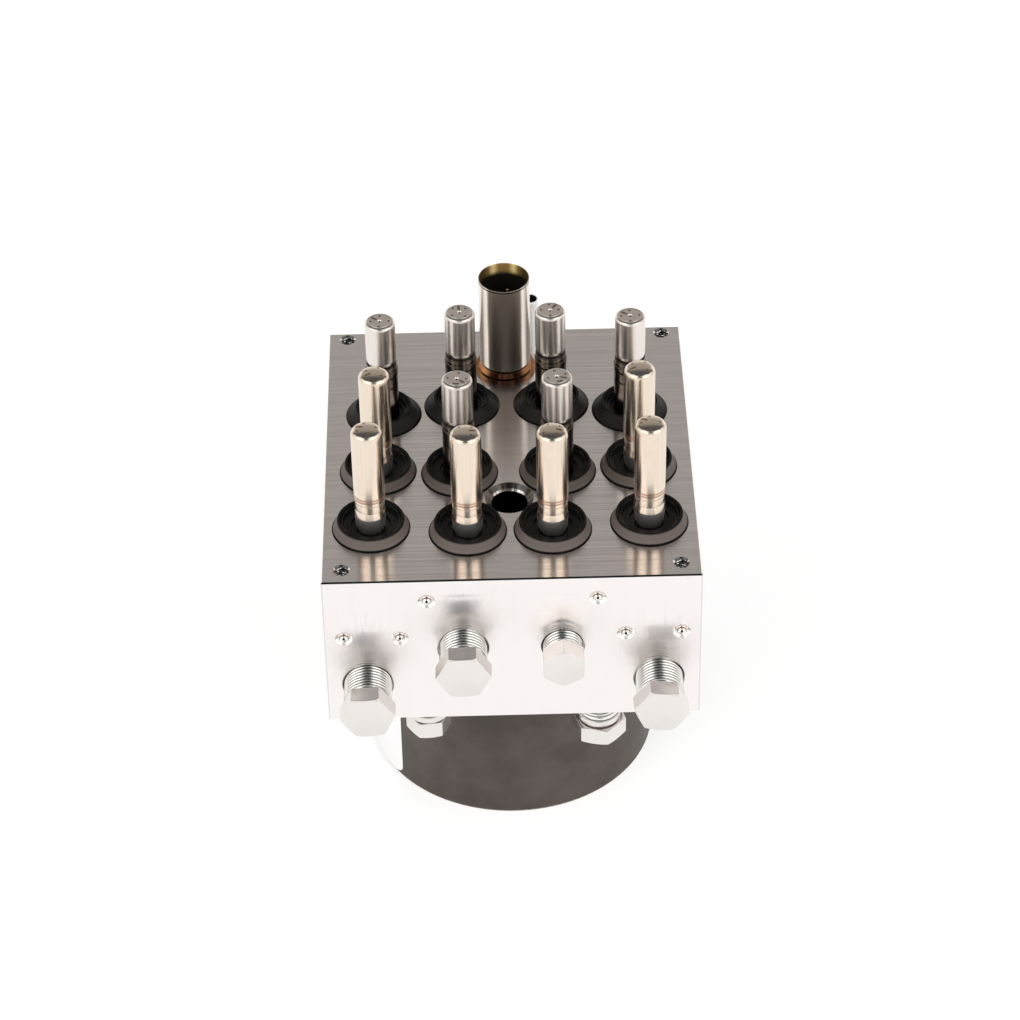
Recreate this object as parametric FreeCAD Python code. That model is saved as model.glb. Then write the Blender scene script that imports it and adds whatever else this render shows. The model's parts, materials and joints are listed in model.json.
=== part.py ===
import FreeCAD, Part
import math
import os

# Brake pressure modulator: a drilled aluminium valve block that stands on its pump motor.
# All sizes are in millimetres. The origin is on the motor's axis, on the flat end that the unit
# stands on. +Z is up, -Y is the face with the pipe ports, and +X is the viewer's right.

# valve block
block_width = 93.0
block_depth = 101.7
block_height = 45.2
block_chamfer = 0.35
motor_offset = 8.8            # the motor's axis lies this far behind the middle of the block
running_fit = 0.05            # radial clearance of shafts and sliding pieces
press_gap = 0.02              # radial clearance of pieces pressed or staked into the block
loose_gap = 0.2               # clearance between fixed pieces that don't carry each other

# solenoid valves, placed from the middle of the block's top as (x, y)
front_outer_at = (34.4, -30.2)
front_inner_at = (10.5, -32.25)
middle_outer_at = (32.85, -7.95)
middle_inner_at = (12.35, -9.35)
back_outer_at = (31.6, 15.35)
back_inner_at = (11.5, 18.4)
valve_depth = 19.0            # how far a valve reaches into the block
valve_foot_radius = 4.6
valve_flange_radius = 6.0
valve_flange_depth = 3.2      # underside of the staked flange below the block's top
valve_flange_top = 1.2        # its upper side below the block's top
pin_radius = 1.0
plunger_clearance = 0.1
plunger_stroke = 0.35

# smooth valves with a domed can, welded to a flared body
smooth_stem_radius = 3.3
smooth_stem_top = 1.0
smooth_body_radius = 3.65
smooth_body_start = 1.4
smooth_body_top = 5.0
smooth_collar_radius = 3.93
smooth_collar_top = 5.3
smooth_neck_radius = 3.65
smooth_neck_start = 7.1
smooth_groove_start = 9.2
smooth_groove_width = 0.3
smooth_groove_depth = 0.2
smooth_can_start = 10.3
smooth_can_radius = 3.88
smooth_can_top = 31.1
smooth_edge = 1.6
smooth_dome_slope = 20.0      # slope in degrees where the rounded edge meets the domed top

# flat-topped valves with a grooved body, a collar and a can that is rolled in at its foot
flat_stem_radius = 4.0
flat_lower_groove = 10.5
flat_upper_groove = 13.6
flat_groove_width = 0.4
flat_groove_depth = 0.35
flat_collar_radius = 4.12
flat_collar_start = 14.3
flat_collar_top = 15.2
flat_band_radius = 3.85
flat_band_top = 17.0
flat_waist_radius = 3.55
flat_waist_top = 17.5
flat_can_start = 18.7
flat_can_radius = 3.87
flat_can_top = 29.9
flat_edge = 0.95
flat_chamber_floor = 8.5
can_wall = 0.5
dimple_radius = 0.7
dimple_depth = 0.5

# seal cups around the valves
seal_base_radius = 9.5
seal_rim_radius = 8.3
back_seal_rim_radius = 7.2
seal_height = 3.0
seal_lip = 0.7                # thickness of the rim
seal_skirt = 0.35             # straight part of the outside over the block
seal_dish_run = 1.2           # from the rim's inner edge in to the dish's floor
seal_dish_height = 1.3        # level of the dish's floor over the block
seal_hub_radius = 4.9
seal_hub_height = 0.7
seat_gap = 0.25               # gap around a seal in its counterbore
seat_depth = 1.0

# pressure sensor
sensor_y = 34.6               # behind the middle of the block
sensor_radius = 6.6
sensor_wall = 0.3
sensor_top = 28.7
sensor_waist_radius = 6.1
sensor_waist_top = 3.3
sensor_foot_radius = 5.0
sensor_depth = 10.0
sensor_floor = 13.0           # level of the can's inner floor over the block
header_thickness = 6.0
contact_radius = 0.35
contact_circle = 2.4
contact_reach = 4.3           # how far the contacts stand over the header
contact_turn = 68.0           # direction of the first contact from the X axis
contact_count = 4
ring_radius = 7.8
ring_step_radius = 6.9
ring_step_height = 1.1
ring_height = 2.4
ring_gap = 0.1

# motor terminal behind the sensor
terminal_x = 6.8
terminal_gap = 0.2107         # between the terminal and the inside of the motor's wall
terminal_radius = 2.1
terminal_wall = 0.4
terminal_height = 16.5
socket_depth = 7.0
terminal_contact_radius = 1.1

# plain bores and threaded holes of the block
locating_y = -19.6
locating_radius = 4.55
locating_chamfer_radius = 6.1
locating_depth = 30.0
cover_hole_side_inset = 5.0
cover_hole_front_inset = 4.75
cover_hole_back_inset = 2.85
cover_hole_radius = 1.65
cover_hole_chamfer_radius = 2.1
cover_hole_depth = 10.0
bracket_hole_radius = 2.5
bracket_hole_depth = 11.0
bracket_hole_at = (-22.0, 12.0)   # y from the block's middle, height over its underside
cutter_over = 1.0             # how far cutters and bores run out past a face

# pipe ports with screw plugs, as x and depth under the block's top
large_thread_radius = 6.0
small_thread_radius = 5.0
large_hex = 12.0
small_hex = 10.0
large_shank = 17.0
small_shank = 13.0
plug_neck = 0.5               # depth of the undercut under the head
plug_undercut = 0.4           # its width
plug_collar = 1.7             # height of the sealing collar on the plugs underneath
plug_collar_over = 0.4        # how far that collar stands out past the thread
plug_head = 4.9
plug_bevel_over = 0.2         # the head's flat face reaches this far past its flats
plug_lead = 0.8
port_depth = 13.5
port_mouth = 0.4              # widening of a port's mouth over its thread radius
port_drill_radius = 1.75
port_drill_depth = 18.0
outer_port_at = (36.2, 33.3)
inner_port_at = (12.3, 22.1)
lower_port_at = (21.65, -42.5)    # x and y from the block's middle
outer_left_reach = 12.7       # how far each plug's face stands out
outer_right_reach = 12.9
inner_left_reach = 11.2
inner_right_reach = 8.7
lower_left_reach = 10.1
lower_right_reach = 12.8
outer_left_turn = 5.0         # how far each plug is turned, in degrees
outer_right_turn = -7.0
inner_left_turn = 2.0
inner_right_turn = 30.0
lower_left_turn = -5.8
lower_right_turn = 13.0

# expander plugs that close the drilled channels, as x and depth under the block's top
channel_plugs_at = ((20.9, 6.6), (41.6, 18.1), (27.8, 18.3))
channel_plug_radius = 1.3
channel_plug_length = 4.6
channel_plug_proud = 0.35
channel_plug_hole = 0.55
channel_mouth_radius = 2.15   # wide end of the chamfer round each plug
channel_mouth_depth = 0.6
channel_length = 24.0

# motor
motor_radius = 38.0
motor_length = 55.0
motor_wall = 1.8
motor_end = 3.0
motor_edge = 1.0
ear_angle = 25.0              # the fixing ears stand this far off the X axis
ear_reach = 4.3               # from the motor's wall to the middle of an ear
ear_radius = 5.4
ear_thickness = 3.5
screw_radius = 2.5
screw_length = 12.0
screw_head_radius = 4.2
screw_head_height = 3.4
screw_socket = 4.0            # across the flats of the screw's socket
label_angle = 90.0
label_start = -142.0          # from the front of the motor, in degrees
label_height = 38.0
label_bottom = 1.2
label_corner = 2.5
label_thickness = 0.12

# rotor and what carries it
bearing_shield = (0.25, 0.08)     # a shield's edge and depth as shares of a bearing's section
shaft_radius = 5.0
rear_journal_radius = 4.0
end_journal_radius = 3.0
rear_bearing_radius = 11.0
rear_bearing_width = 6.0
rear_boss_wall = 2.5
front_bearing_radius = 13.0
front_bearing_width = 7.0
end_bearing_radius = 6.5
end_bearing_width = 4.0
magnet_thickness = 5.0
magnet_span = 68.0
magnet_turn = 45.0            # direction of the first magnet from the X axis
magnet_bottom = 10.0
magnet_top = 43.0
air_gap = 0.6
core_bottom = 13.0
core_top = 40.0
core_slots = 12
slot_width = 3.0
slot_depth = 9.0
winding_inset = 2.55          # from the core's rim to the end turns
winding_width = 13.0
winding_height = 4.5
commutator_radius = 8.6
commutator_length = 9.0
commutator_groove = (0.4, 0.6)    # width and depth of the grooves between its segments
holder_bottom = 46.5
holder_thickness = 5.0
holder_hole_radius = 11.5
brush_width = 5.0
brush_height = 3.4
brush_length = 9.0

# eccentric and pump
eccentric_offset = 1.6
eccentric_radius = 7.0
eccentric_width = 9.0
needle_radius = 0.75
needle_count = 12
ring_race_wall = 1.9
pump_height = 16.2            # pump axis over the block's underside
chamber_gap = 0.4
chamber_height = 16.5
piston_radius = 4.0
piston_head_radius = 5.6
piston_head_thickness = 2.0
piston_reach_gap = 0.3        # left between a piston and the eccentric ring's furthest reach
piston_guide_end = 26.0       # where the piston's guide widens, from the motor's axis
pump_bore_radius = 7.5
pump_plug_length = 10.5
pump_plug_dimple = 3.0
pump_plug_edge = 0.8

# low-pressure accumulators in the back of the block
accumulator_at = (23.5, 14.6)     # in from the block's side, height over its underside
accumulator_radius = 10.5
accumulator_depth = 24.0
accumulator_piston_length = 8.0
accumulator_cap_thickness = 3.2
accumulator_cap_inset = 0.6
accumulator_vent_radius = 1.0
accumulator_crown = 2.5           # thickness of the piston's closed end

block_bottom = motor_length
block_top = block_bottom + block_height
block_y = -motor_offset
block_front = block_y - block_depth / 2
block_back = block_y + block_depth / 2
block_side = block_width / 2
pump_z = block_bottom + pump_height

VALVES = (
    ("front_outer", front_outer_at, "smooth"),
    ("front_inner", front_inner_at, "smooth"),
    ("middle_outer", middle_outer_at, "smooth"),
    ("middle_inner", middle_inner_at, "flat"),
    ("back_outer", back_outer_at, "flat"),
    ("back_inner", back_inner_at, "flat"),
)
SIDES = (("left", -1), ("right", 1))
TURNS = {"+Z": None, "-Z": ((1, 0, 0), 180), "-Y": ((1, 0, 0), 90), "+Y": ((1, 0, 0), -90),
         "+X": ((0, 1, 0), 90), "-X": ((0, 1, 0), -90)}


def vec(x, y, z):
    return FreeCAD.Vector(x, y, z)


def turned(start, *steps):
    """Solid turned about Z from (radius, height) points; a pair of points is an arc."""
    edges = []
    here = start
    for step in steps + (start,):
        if isinstance(step[0], tuple):
            middle, step = step
            edges.append(Part.Arc(vec(here[0], 0, here[1]), vec(middle[0], 0, middle[1]),
                                  vec(step[0], 0, step[1])).toShape())
        elif step != here:
            edges.append(Part.makeLine(vec(here[0], 0, here[1]), vec(step[0], 0, step[1])))
        here = step
    face = Part.Face(Part.Wire(edges))
    return face.revolve(vec(0, 0, 0), vec(0, 0, 1), 360)


def rounded(corner, radius, along, then):
    """Arc that rounds a right-angled corner of an outline between two unit directions."""
    bend = radius * (1 - math.sqrt(0.5))
    end = (corner[0] + radius * then[0], corner[1] + radius * then[1])
    middle = (corner[0] - bend * (along[0] - then[0]), corner[1] - bend * (along[1] - then[1]))
    return middle, end


def placed(shape, x, y, z, facing="+Z", turn=0.0):
    """Copy of a shape built up +Z, turned about its own axis, faced and moved to a place."""
    copy = shape.copy()
    copy.rotate(vec(0, 0, 0), vec(0, 0, 1), turn)
    if TURNS[facing]:
        axis, angle = TURNS[facing]
        copy.rotate(vec(0, 0, 0), vec(*axis), angle)
    copy.translate(vec(x, y, z))
    return copy


def on_block(shape, x, y):
    """Copy of a shape at a place on the block's top, measured from its middle."""
    return placed(shape, x, block_y + y, block_top)


def hole(radius, depth, mouth=0.0):
    """Cutter for a round hole that runs down from z = 0, with a chamfered mouth."""
    return turned((0, -depth), (radius, -depth), (radius, -mouth), (radius + mouth, 0),
                  (radius + mouth, cutter_over), (0, cutter_over))


def hexagon(flats, height):
    corner = flats / math.sqrt(3)
    points = [vec(corner * math.cos(math.radians(60 * i)), corner * math.sin(math.radians(60 * i)), 0)
              for i in range(7)]
    return Part.Face(Part.makePolygon(points)).extrude(vec(0, 0, height))


def stem_radius(kind):
    return smooth_stem_radius if kind == "smooth" else flat_stem_radius


def chamber_levels(kind):
    """Radius, floor and ceiling of the plunger's chamber in a valve, from the block's top."""
    if kind == "smooth":
        return smooth_can_radius - can_wall, smooth_can_start + can_wall, smooth_can_top - smooth_edge
    return flat_waist_radius - can_wall, flat_chamber_floor, flat_can_top - dimple_depth - can_wall


def domed(radius, level, edge, slope):
    """Arcs from a can's side over its rounded edge and on to the middle of its domed top."""
    def over_edge(angle):
        tilt = math.radians(angle)
        return radius - edge + edge * math.sin(tilt), level - edge + edge * math.cos(tilt)

    rim = over_edge(slope)
    tilt = math.radians(slope)
    cap = rim[0] / math.sin(tilt)
    centre = rim[1] - cap * math.cos(tilt)
    half = (cap * math.sin(tilt / 2), centre + cap * math.cos(tilt / 2))
    return (over_edge((90 + slope) / 2), rim), (half, (0, centre + cap))


def groove(radius, start, width, depth):
    """Points of a groove around a valve's body, from the body's surface and back to it."""
    floor = radius - depth
    end = start + width
    return (radius, start), (floor, start), (floor, end), (radius, end)


def flat_groove(start):
    return groove(flat_stem_radius, start, flat_groove_width, flat_groove_depth)


def valve_outline(kind):
    """Outer half section of a valve over its flange, from the stem up to the middle of the top."""
    if kind == "smooth":
        return (
            (smooth_stem_radius, smooth_stem_top), (smooth_body_radius, smooth_body_start),
            (smooth_collar_radius, smooth_body_top), (smooth_collar_radius, smooth_collar_top),
            (smooth_neck_radius, smooth_neck_start),
            *groove(smooth_neck_radius, smooth_groove_start, smooth_groove_width, smooth_groove_depth),
            (smooth_neck_radius, smooth_can_start), (smooth_can_radius, smooth_can_start),
            (smooth_can_radius, smooth_can_top - smooth_edge),
            *domed(smooth_can_radius, smooth_can_top, smooth_edge, smooth_dome_slope))
    shoulder = (flat_can_radius, flat_can_top)
    return (
        *flat_groove(flat_lower_groove), *flat_groove(flat_upper_groove),
        (flat_stem_radius, flat_collar_start), (flat_collar_radius, flat_collar_start),
        (flat_collar_radius, flat_collar_top), (flat_band_radius, flat_collar_top),
        (flat_band_radius, flat_band_top), (flat_waist_radius, flat_band_top),
        (flat_waist_radius, flat_waist_top), (flat_can_radius, flat_can_start),
        (flat_can_radius, flat_can_top - flat_edge),
        rounded(shoulder, flat_edge, (0, 1), (-1, 0)),
        (dimple_radius, flat_can_top), (0, flat_can_top - dimple_depth))


def valve(kind):
    """Stepped valve body with its can, hollow for the plunger and its pin."""
    radius, floor, ceiling = chamber_levels(kind)
    pin_hole = pin_radius + plunger_clearance
    return turned(
        (pin_hole, -valve_depth), (valve_foot_radius, -valve_depth),
        (valve_foot_radius, -valve_flange_depth), (valve_flange_radius, -valve_flange_depth),
        (valve_flange_radius, -valve_flange_top), (stem_radius(kind), -valve_flange_top),
        *valve_outline(kind),
        (0, ceiling), (radius, ceiling), (radius, floor), (pin_hole, floor))


def plunger(kind):
    """Soft-iron plunger with its valve pin. Smooth valves rest open, flat ones rest closed."""
    radius, floor, ceiling = chamber_levels(kind)
    travel = plunger_stroke + plunger_clearance
    bottom = floor + (travel if kind == "smooth" else plunger_clearance)
    top = ceiling - (plunger_clearance if kind == "smooth" else travel)
    pin_end = bottom - floor - valve_depth + pin_radius
    return turned((0, pin_end), (pin_radius, pin_end), (pin_radius, bottom),
                  (radius - plunger_clearance, bottom), (radius - plunger_clearance, top), (0, top))


def valve_seat(kind):
    """Cutter for the stepped bore that holds a valve and its seal."""
    seat = seal_base_radius + seat_gap
    flange = valve_flange_radius + press_gap
    foot = valve_foot_radius + press_gap
    bottom = valve_depth + loose_gap
    return turned((0, -bottom), (foot, -bottom), (foot, -valve_flange_depth),
                  (flange, -valve_flange_depth), (flange, -seat_depth), (seat, -seat_depth),
                  (seat, cutter_over), (0, cutter_over))


def seal_cup(kind, rim_radius):
    """Dished rubber seal around a valve's stem, with a sunk hub and a thin rim."""
    bore = stem_radius(kind) + plunger_clearance
    rim = rim_radius - seal_lip
    return turned(
        (bore, -seat_depth), (seal_base_radius, -seat_depth), (seal_base_radius, seal_skirt),
        (rim_radius, seal_height), (rim, seal_height), (rim - seal_dish_run, seal_dish_height),
        (seal_hub_radius, seal_dish_height), (seal_hub_radius, seal_hub_height),
        (bore, seal_hub_height))


def sensor_can():
    """Stainless can, open at the top, drawn in at the bottom and pressed into the block."""
    inner = sensor_radius - sensor_wall
    foot_top = ring_height + ring_gap
    return turned(
        (0, -sensor_depth), (sensor_foot_radius, -sensor_depth), (sensor_foot_radius, foot_top),
        (sensor_waist_radius, foot_top), (sensor_radius, sensor_waist_top),
        (sensor_radius, sensor_top), (inner, sensor_top), (inner, sensor_floor), (0, sensor_floor))


def sensor_ring():
    inner = sensor_foot_radius + ring_gap
    return turned(
        (inner, 0), (ring_radius, 0), (ring_radius, ring_step_height),
        (ring_step_radius, ring_step_height), (sensor_waist_radius + ring_gap, ring_height),
        (inner, ring_height))


def sensor_header():
    """Insulating plug in the can, drilled for the contacts."""
    header = turned(
        (0, sensor_floor), (sensor_radius - sensor_wall - ring_gap, sensor_floor),
        (sensor_radius - sensor_wall - ring_gap, sensor_floor + header_thickness),
        (0, sensor_floor + header_thickness))
    return header.cut(sensor_contacts())


def sensor_contacts():
    """Contact pins that stand up from the header."""
    length = header_thickness / 2 + contact_reach
    start = sensor_floor + header_thickness / 2
    pin = Part.makeCylinder(contact_radius, length, vec(contact_circle, 0, start))
    pins = []
    for i in range(contact_count):
        pins.append(placed(pin, 0, 0, 0, turn=contact_turn + 360 / contact_count * i))
    return Part.makeCompound(pins)


def terminal_place():
    """The terminal stands just inside the motor's wall, seen from the block's middle."""
    reach = motor_radius - motor_wall - terminal_gap - terminal_radius
    return terminal_x, math.sqrt(reach ** 2 - terminal_x ** 2) - block_y


def terminal_levels():
    """Lower end of the motor's terminal and the floor of its socket, from the block's top."""
    return holder_bottom + holder_thickness - block_top, terminal_height - socket_depth


def terminal_sleeve():
    """Insulating tube that brings the motor's contact up through the block, with a wider socket."""
    bottom, floor = terminal_levels()
    socket = terminal_radius - terminal_wall
    bore = terminal_contact_radius + running_fit
    return turned((bore, bottom), (terminal_radius, bottom), (terminal_radius, terminal_height),
                  (socket, terminal_height), (socket, floor), (bore, floor))


def terminal_contact():
    bottom, floor = terminal_levels()
    return turned((0, bottom), (terminal_contact_radius, bottom), (terminal_contact_radius, floor),
                  (0, floor))


def plug_thread(size):
    """Thread radius and shank length of a screw plug."""
    if size == "large":
        return large_thread_radius, large_shank
    return small_thread_radius, small_shank


def plug_collar_outline(radius, neck, top):
    """Sealing collar between two undercuts, from the thread up to the one under the head."""
    bottom = top - plug_collar
    rim = radius + plug_collar_over
    return ((radius, bottom - plug_undercut), (neck, bottom - plug_undercut), (neck, bottom),
            (rim, bottom), (rim, top))


def screw_plug(size, flats, collared):
    """Hex-headed screw plug, built so that its outer face is at z = 0."""
    radius, length = plug_thread(size)
    neck = radius - plug_neck
    top = -plug_head - plug_undercut
    end = top - length
    upper = plug_collar_outline(radius, neck, top) if collared else ((radius, top),)
    shank = turned((0, end), (radius - plug_lead, end), (radius, end + plug_lead), *upper,
                   (neck, top), (neck, -plug_head), (0, -plug_head))
    corner = flats / math.sqrt(3)
    face = flats / 2 + plug_bevel_over
    bevel = (corner - face) * math.tan(math.radians(30))
    crown = turned((0, -plug_head), (corner, -plug_head), (corner, -bevel), (face, 0), (0, 0))
    head = placed(hexagon(flats, plug_head), 0, 0, -plug_head).common(crown)
    return shank.fuse(head).removeSplitter()


def port(size):
    """Cutter for a threaded port with its chamfered mouth and the drilling behind it."""
    radius, length = plug_thread(size)
    wall = radius + running_fit
    deep = port_drill_depth
    cone = port_depth + radius * math.tan(math.radians(30))
    return turned((0, -deep), (port_drill_radius, -deep), (port_drill_radius, -cone),
                  (wall, -port_depth), (wall, -port_mouth), (wall + port_mouth, 0),
                  (wall + port_mouth, cutter_over), (0, cutter_over))


def ports():
    """Each port as its thread size, mouth and facing, and its plug's head, reach and turn."""
    outer_x, outer_down = outer_port_at
    inner_x, inner_down = inner_port_at
    lower_x, lower_y = lower_port_at
    outer_z = block_top - outer_down
    inner_z = block_top - inner_down
    front = block_y + lower_y
    under = block_bottom
    return (
        ("large", (-outer_x, block_front, outer_z), "-Y", large_hex, outer_left_reach, outer_left_turn),
        ("large", (outer_x, block_front, outer_z), "-Y", large_hex, outer_right_reach, outer_right_turn),
        ("large", (-inner_x, block_front, inner_z), "-Y", large_hex, inner_left_reach, inner_left_turn),
        ("small", (inner_x, block_front, inner_z), "-Y", small_hex, inner_right_reach, inner_right_turn),
        ("small", (-lower_x, front, under), "-Z", small_hex, lower_left_reach, lower_left_turn),
        ("small", (lower_x, front, under), "-Z", large_hex, lower_right_reach, lower_right_turn),
    )


def screw_plugs(size):
    """All screw plugs of one size, each screwed in to its own depth."""
    made = []
    for plug_size, (x, y, z), facing, flats, reach, turn in ports():
        if plug_size == size:
            underneath = facing == "-Z"
            plug = screw_plug(size, flats, underneath)
            step = (0, 0, -reach) if underneath else (0, -reach, 0)
            made.append(placed(plug, x + step[0], y + step[1], z + step[2], facing, turn))
    return Part.makeCompound(made)


def channel_places():
    places = []
    for x, down in channel_plugs_at:
        for name, side in SIDES:
            places.append((side * x, block_front, block_top - down))
    return places


def channel_plug():
    """Expander plug with a blind hole in its domed face."""
    face = channel_plug_proud
    return turned((0, -channel_plug_length), (channel_plug_radius, -channel_plug_length),
                  (channel_plug_radius, 0), (channel_plug_radius - face, face), (channel_plug_hole, face),
                  (channel_plug_hole, -2 * channel_plug_hole), (0, -2 * channel_plug_hole))


def channel():
    """Cutter for a drilled channel with its chamfered mouth and plug seat."""
    seat = channel_plug_radius + press_gap
    drill = channel_plug_radius - loose_gap
    end = channel_plug_length + loose_gap
    return turned((0, -channel_length), (drill, -channel_length), (drill, -end), (seat, -end),
                  (seat, -channel_mouth_depth), (channel_mouth_radius, 0),
                  (channel_mouth_radius, cutter_over), (0, cutter_over))


def accumulator_places():
    inset, up = accumulator_at
    x = block_side - inset
    return tuple((name, side * x, block_back, block_bottom + up) for name, side in SIDES)


def accumulator_piston():
    """Cup-shaped piston at the inner end of its bore, open towards the spring."""
    radius = accumulator_radius - running_fit
    inner = radius - accumulator_crown
    start = -accumulator_depth + loose_gap
    end = start + accumulator_piston_length
    return turned((0, start), (radius, start), (radius, end), (inner, end),
                  (inner, start + accumulator_crown), (0, start + accumulator_crown))


def accumulator_caps():
    """Vented caps that close the accumulator bores."""
    top = -accumulator_cap_inset
    bottom = top - accumulator_cap_thickness
    radius = accumulator_radius - press_gap
    vent = accumulator_vent_radius
    cap = turned((vent, bottom), (radius, bottom), (radius, top - accumulator_cap_inset),
                 (radius - accumulator_cap_inset, top), (vent, top))
    return Part.makeCompound([placed(cap, x, y, z, "+Y") for name, x, y, z in accumulator_places()])


def eccentric_reach():
    """Furthest that the eccentric's ring comes from the motor's axis."""
    return eccentric_offset + ring_outer_radius()


def ring_inner_radius():
    return eccentric_radius + 2 * needle_radius + 2 * running_fit


def ring_outer_radius():
    return ring_inner_radius() + ring_race_wall


def chamber_radius():
    return eccentric_reach() + chamber_gap


def bearing(inner, outer, width):
    """Ball bearing drawn as one ring with recessed shields."""
    shield = bearing_shield[0] * (outer - inner)
    sunk = bearing_shield[1] * width
    return turned((inner, 0), (inner + shield, 0), (inner + shield, sunk), (outer - shield, sunk),
                  (outer - shield, 0), (outer, 0), (outer, width), (outer - shield, width),
                  (outer - shield, width - sunk), (inner + shield, width - sunk),
                  (inner + shield, width), (inner, width))


def chamber_floor():
    return block_bottom + front_bearing_width


def eccentric_bottom():
    return pump_z - eccentric_width / 2


def rotor_cavity():
    """Cutter for the front bearing's seat, the eccentric's chamber and the end bearing's seat."""
    seat = front_bearing_radius + press_gap
    chamber = chamber_radius()
    floor = chamber_floor()
    ceiling = floor + chamber_height
    end = end_bearing_radius + press_gap
    top = ceiling + end_bearing_width
    start = block_bottom - cutter_over
    return turned((0, start), (seat, start), (seat, floor), (chamber, floor), (chamber, ceiling),
                  (end, ceiling), (end, top), (0, top))


def pump_bore():
    """Cutter for one pump: the piston's guide and the wider bore that its plug closes."""
    end = block_side + cutter_over
    return turned((0, 0), (piston_radius, 0), (piston_radius, piston_guide_end),
                  (pump_bore_radius, piston_guide_end), (pump_bore_radius, end), (0, end))


def pump_piston():
    """Piston with a head for its return spring, built along Z from the motor's axis."""
    start = eccentric_reach() + piston_reach_gap
    radius = piston_radius - running_fit
    head = piston_guide_end + loose_gap
    end = head + piston_head_thickness
    return turned((0, start), (radius, start), (radius, head), (piston_head_radius, head),
                  (piston_head_radius, end), (0, end))


def pump_plugs():
    """Staked plugs that close the pump bores in the block's sides."""
    radius = pump_bore_radius - press_gap
    bottom = block_side - pump_plug_length
    dimple = pump_plug_dimple
    plug = turned((0, bottom), (radius, bottom), (radius, block_side - pump_plug_edge),
                  (radius - pump_plug_edge, block_side), (dimple, block_side),
                  (0, block_side - dimple / 2))
    return Part.makeCompound([placed(plug, 0, 0, pump_z, "+X"), placed(plug, 0, 0, pump_z, "-X")])


def ear_places():
    angle = math.radians(ear_angle)
    x = (motor_radius + ear_reach) * math.cos(angle)
    y = (motor_radius + ear_reach) * math.sin(angle)
    return ((x, y), (-x, -y))


def cover_hole_places():
    """Threaded holes near the corners of the block's top, from its middle."""
    x = block_side - cover_hole_side_inset
    front = cover_hole_front_inset - block_depth / 2
    back = block_depth / 2 - cover_hole_back_inset
    return (-x, front), (x, front), (-x, back), (x, back)


def valve_block():
    """Drilled block: valve seats, ports, channels, pumps, accumulators and the rotor's seats."""
    block = Part.makeBox(block_width, block_depth, block_height,
                         vec(-block_side, block_front, block_bottom))
    block = block.makeChamfer(block_chamfer, block.Edges)
    cutters = [rotor_cavity()]
    for name, (x, y), kind in VALVES:
        for side_name, side in SIDES:
            cutters.append(on_block(valve_seat(kind), side * x, y))
    sensor_foot = sensor_foot_radius + press_gap
    cutters.append(on_block(hole(sensor_foot, sensor_depth + loose_gap), 0, sensor_y))
    terminal = hole(terminal_radius + running_fit, block_height + cutter_over)
    cutters.append(on_block(terminal, *terminal_place()))
    widening = locating_chamfer_radius - locating_radius
    cutters.append(on_block(hole(locating_radius, locating_depth, widening), 0, locating_y))
    mouth = cover_hole_chamfer_radius - cover_hole_radius
    for x, y in cover_hole_places():
        cutters.append(on_block(hole(cover_hole_radius, cover_hole_depth, mouth), x, y))
    for side_name, side in SIDES:
        facing = "+X" if side > 0 else "-X"
        y, up = bracket_hole_at
        drilled = hole(bracket_hole_radius, bracket_hole_depth, port_mouth)
        cutters.append(placed(drilled, side * block_side, block_y + y, block_bottom + up, facing))
        cutters.append(placed(pump_bore(), 0, 0, pump_z, facing))
    for size, (x, y, z), facing, flats, reach, turn in ports():
        cutters.append(placed(port(size), x, y, z, facing))
    for x, y, z in channel_places():
        cutters.append(placed(channel(), x, y, z, "-Y"))
    for name, x, y, z in accumulator_places():
        cutters.append(placed(hole(accumulator_radius, accumulator_depth), x, y, z, "+Y"))
    for x, y in ear_places():
        screw = hole(screw_radius + press_gap, screw_length)
        cutters.append(placed(screw, x, y, block_bottom, "-Z"))
    return block.cut(cutters)


def motor_can():
    """Deep-drawn motor can with a flat end, an inner bearing boss and two fixing ears."""
    inner = motor_radius - motor_wall
    boss = rear_bearing_radius + rear_boss_wall
    seat = rear_bearing_radius + press_gap
    boss_top = motor_end + rear_bearing_width
    low = motor_end / 2
    can = turned(
        (0, 0), (motor_radius - motor_edge, 0), rounded((motor_radius, 0), motor_edge, (1, 0), (0, 1)),
        (motor_radius, motor_length), (inner, motor_length), (inner, motor_end), (boss, motor_end),
        (boss, boss_top), (seat, boss_top), (seat, motor_end), (rear_journal_radius, motor_end),
        (rear_journal_radius, low), (0, low))
    hollow = Part.makeCylinder(inner, ear_thickness, vec(0, 0, motor_length - ear_thickness))
    for x, y in ear_places():
        ear = Part.makeCylinder(ear_radius, ear_thickness, vec(x, y, motor_length - ear_thickness))
        can = can.fuse(ear.cut(hollow))
    for x, y in ear_places():
        drill = screw_radius + loose_gap
        can = can.cut(Part.makeCylinder(drill, ear_thickness, vec(x, y, motor_length - ear_thickness)))
    return can.removeSplitter()


def motor_screws():
    """Socket-headed screws that hold the motor to the block."""
    head_start = ear_thickness + screw_head_height
    screw = turned((0, -ear_thickness), (screw_head_radius, -ear_thickness),
                   (screw_head_radius, -head_start), (0, -head_start))
    length = ear_thickness + screw_length - screw_radius / 2
    screw = screw.fuse(Part.makeCylinder(screw_radius, length, vec(0, 0, -ear_thickness)))
    socket = placed(hexagon(screw_socket, screw_head_height / 2), 0, 0, -head_start)
    screw = screw.cut(socket)
    return Part.makeCompound([placed(screw, x, y, block_bottom) for x, y in ear_places()])


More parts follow.
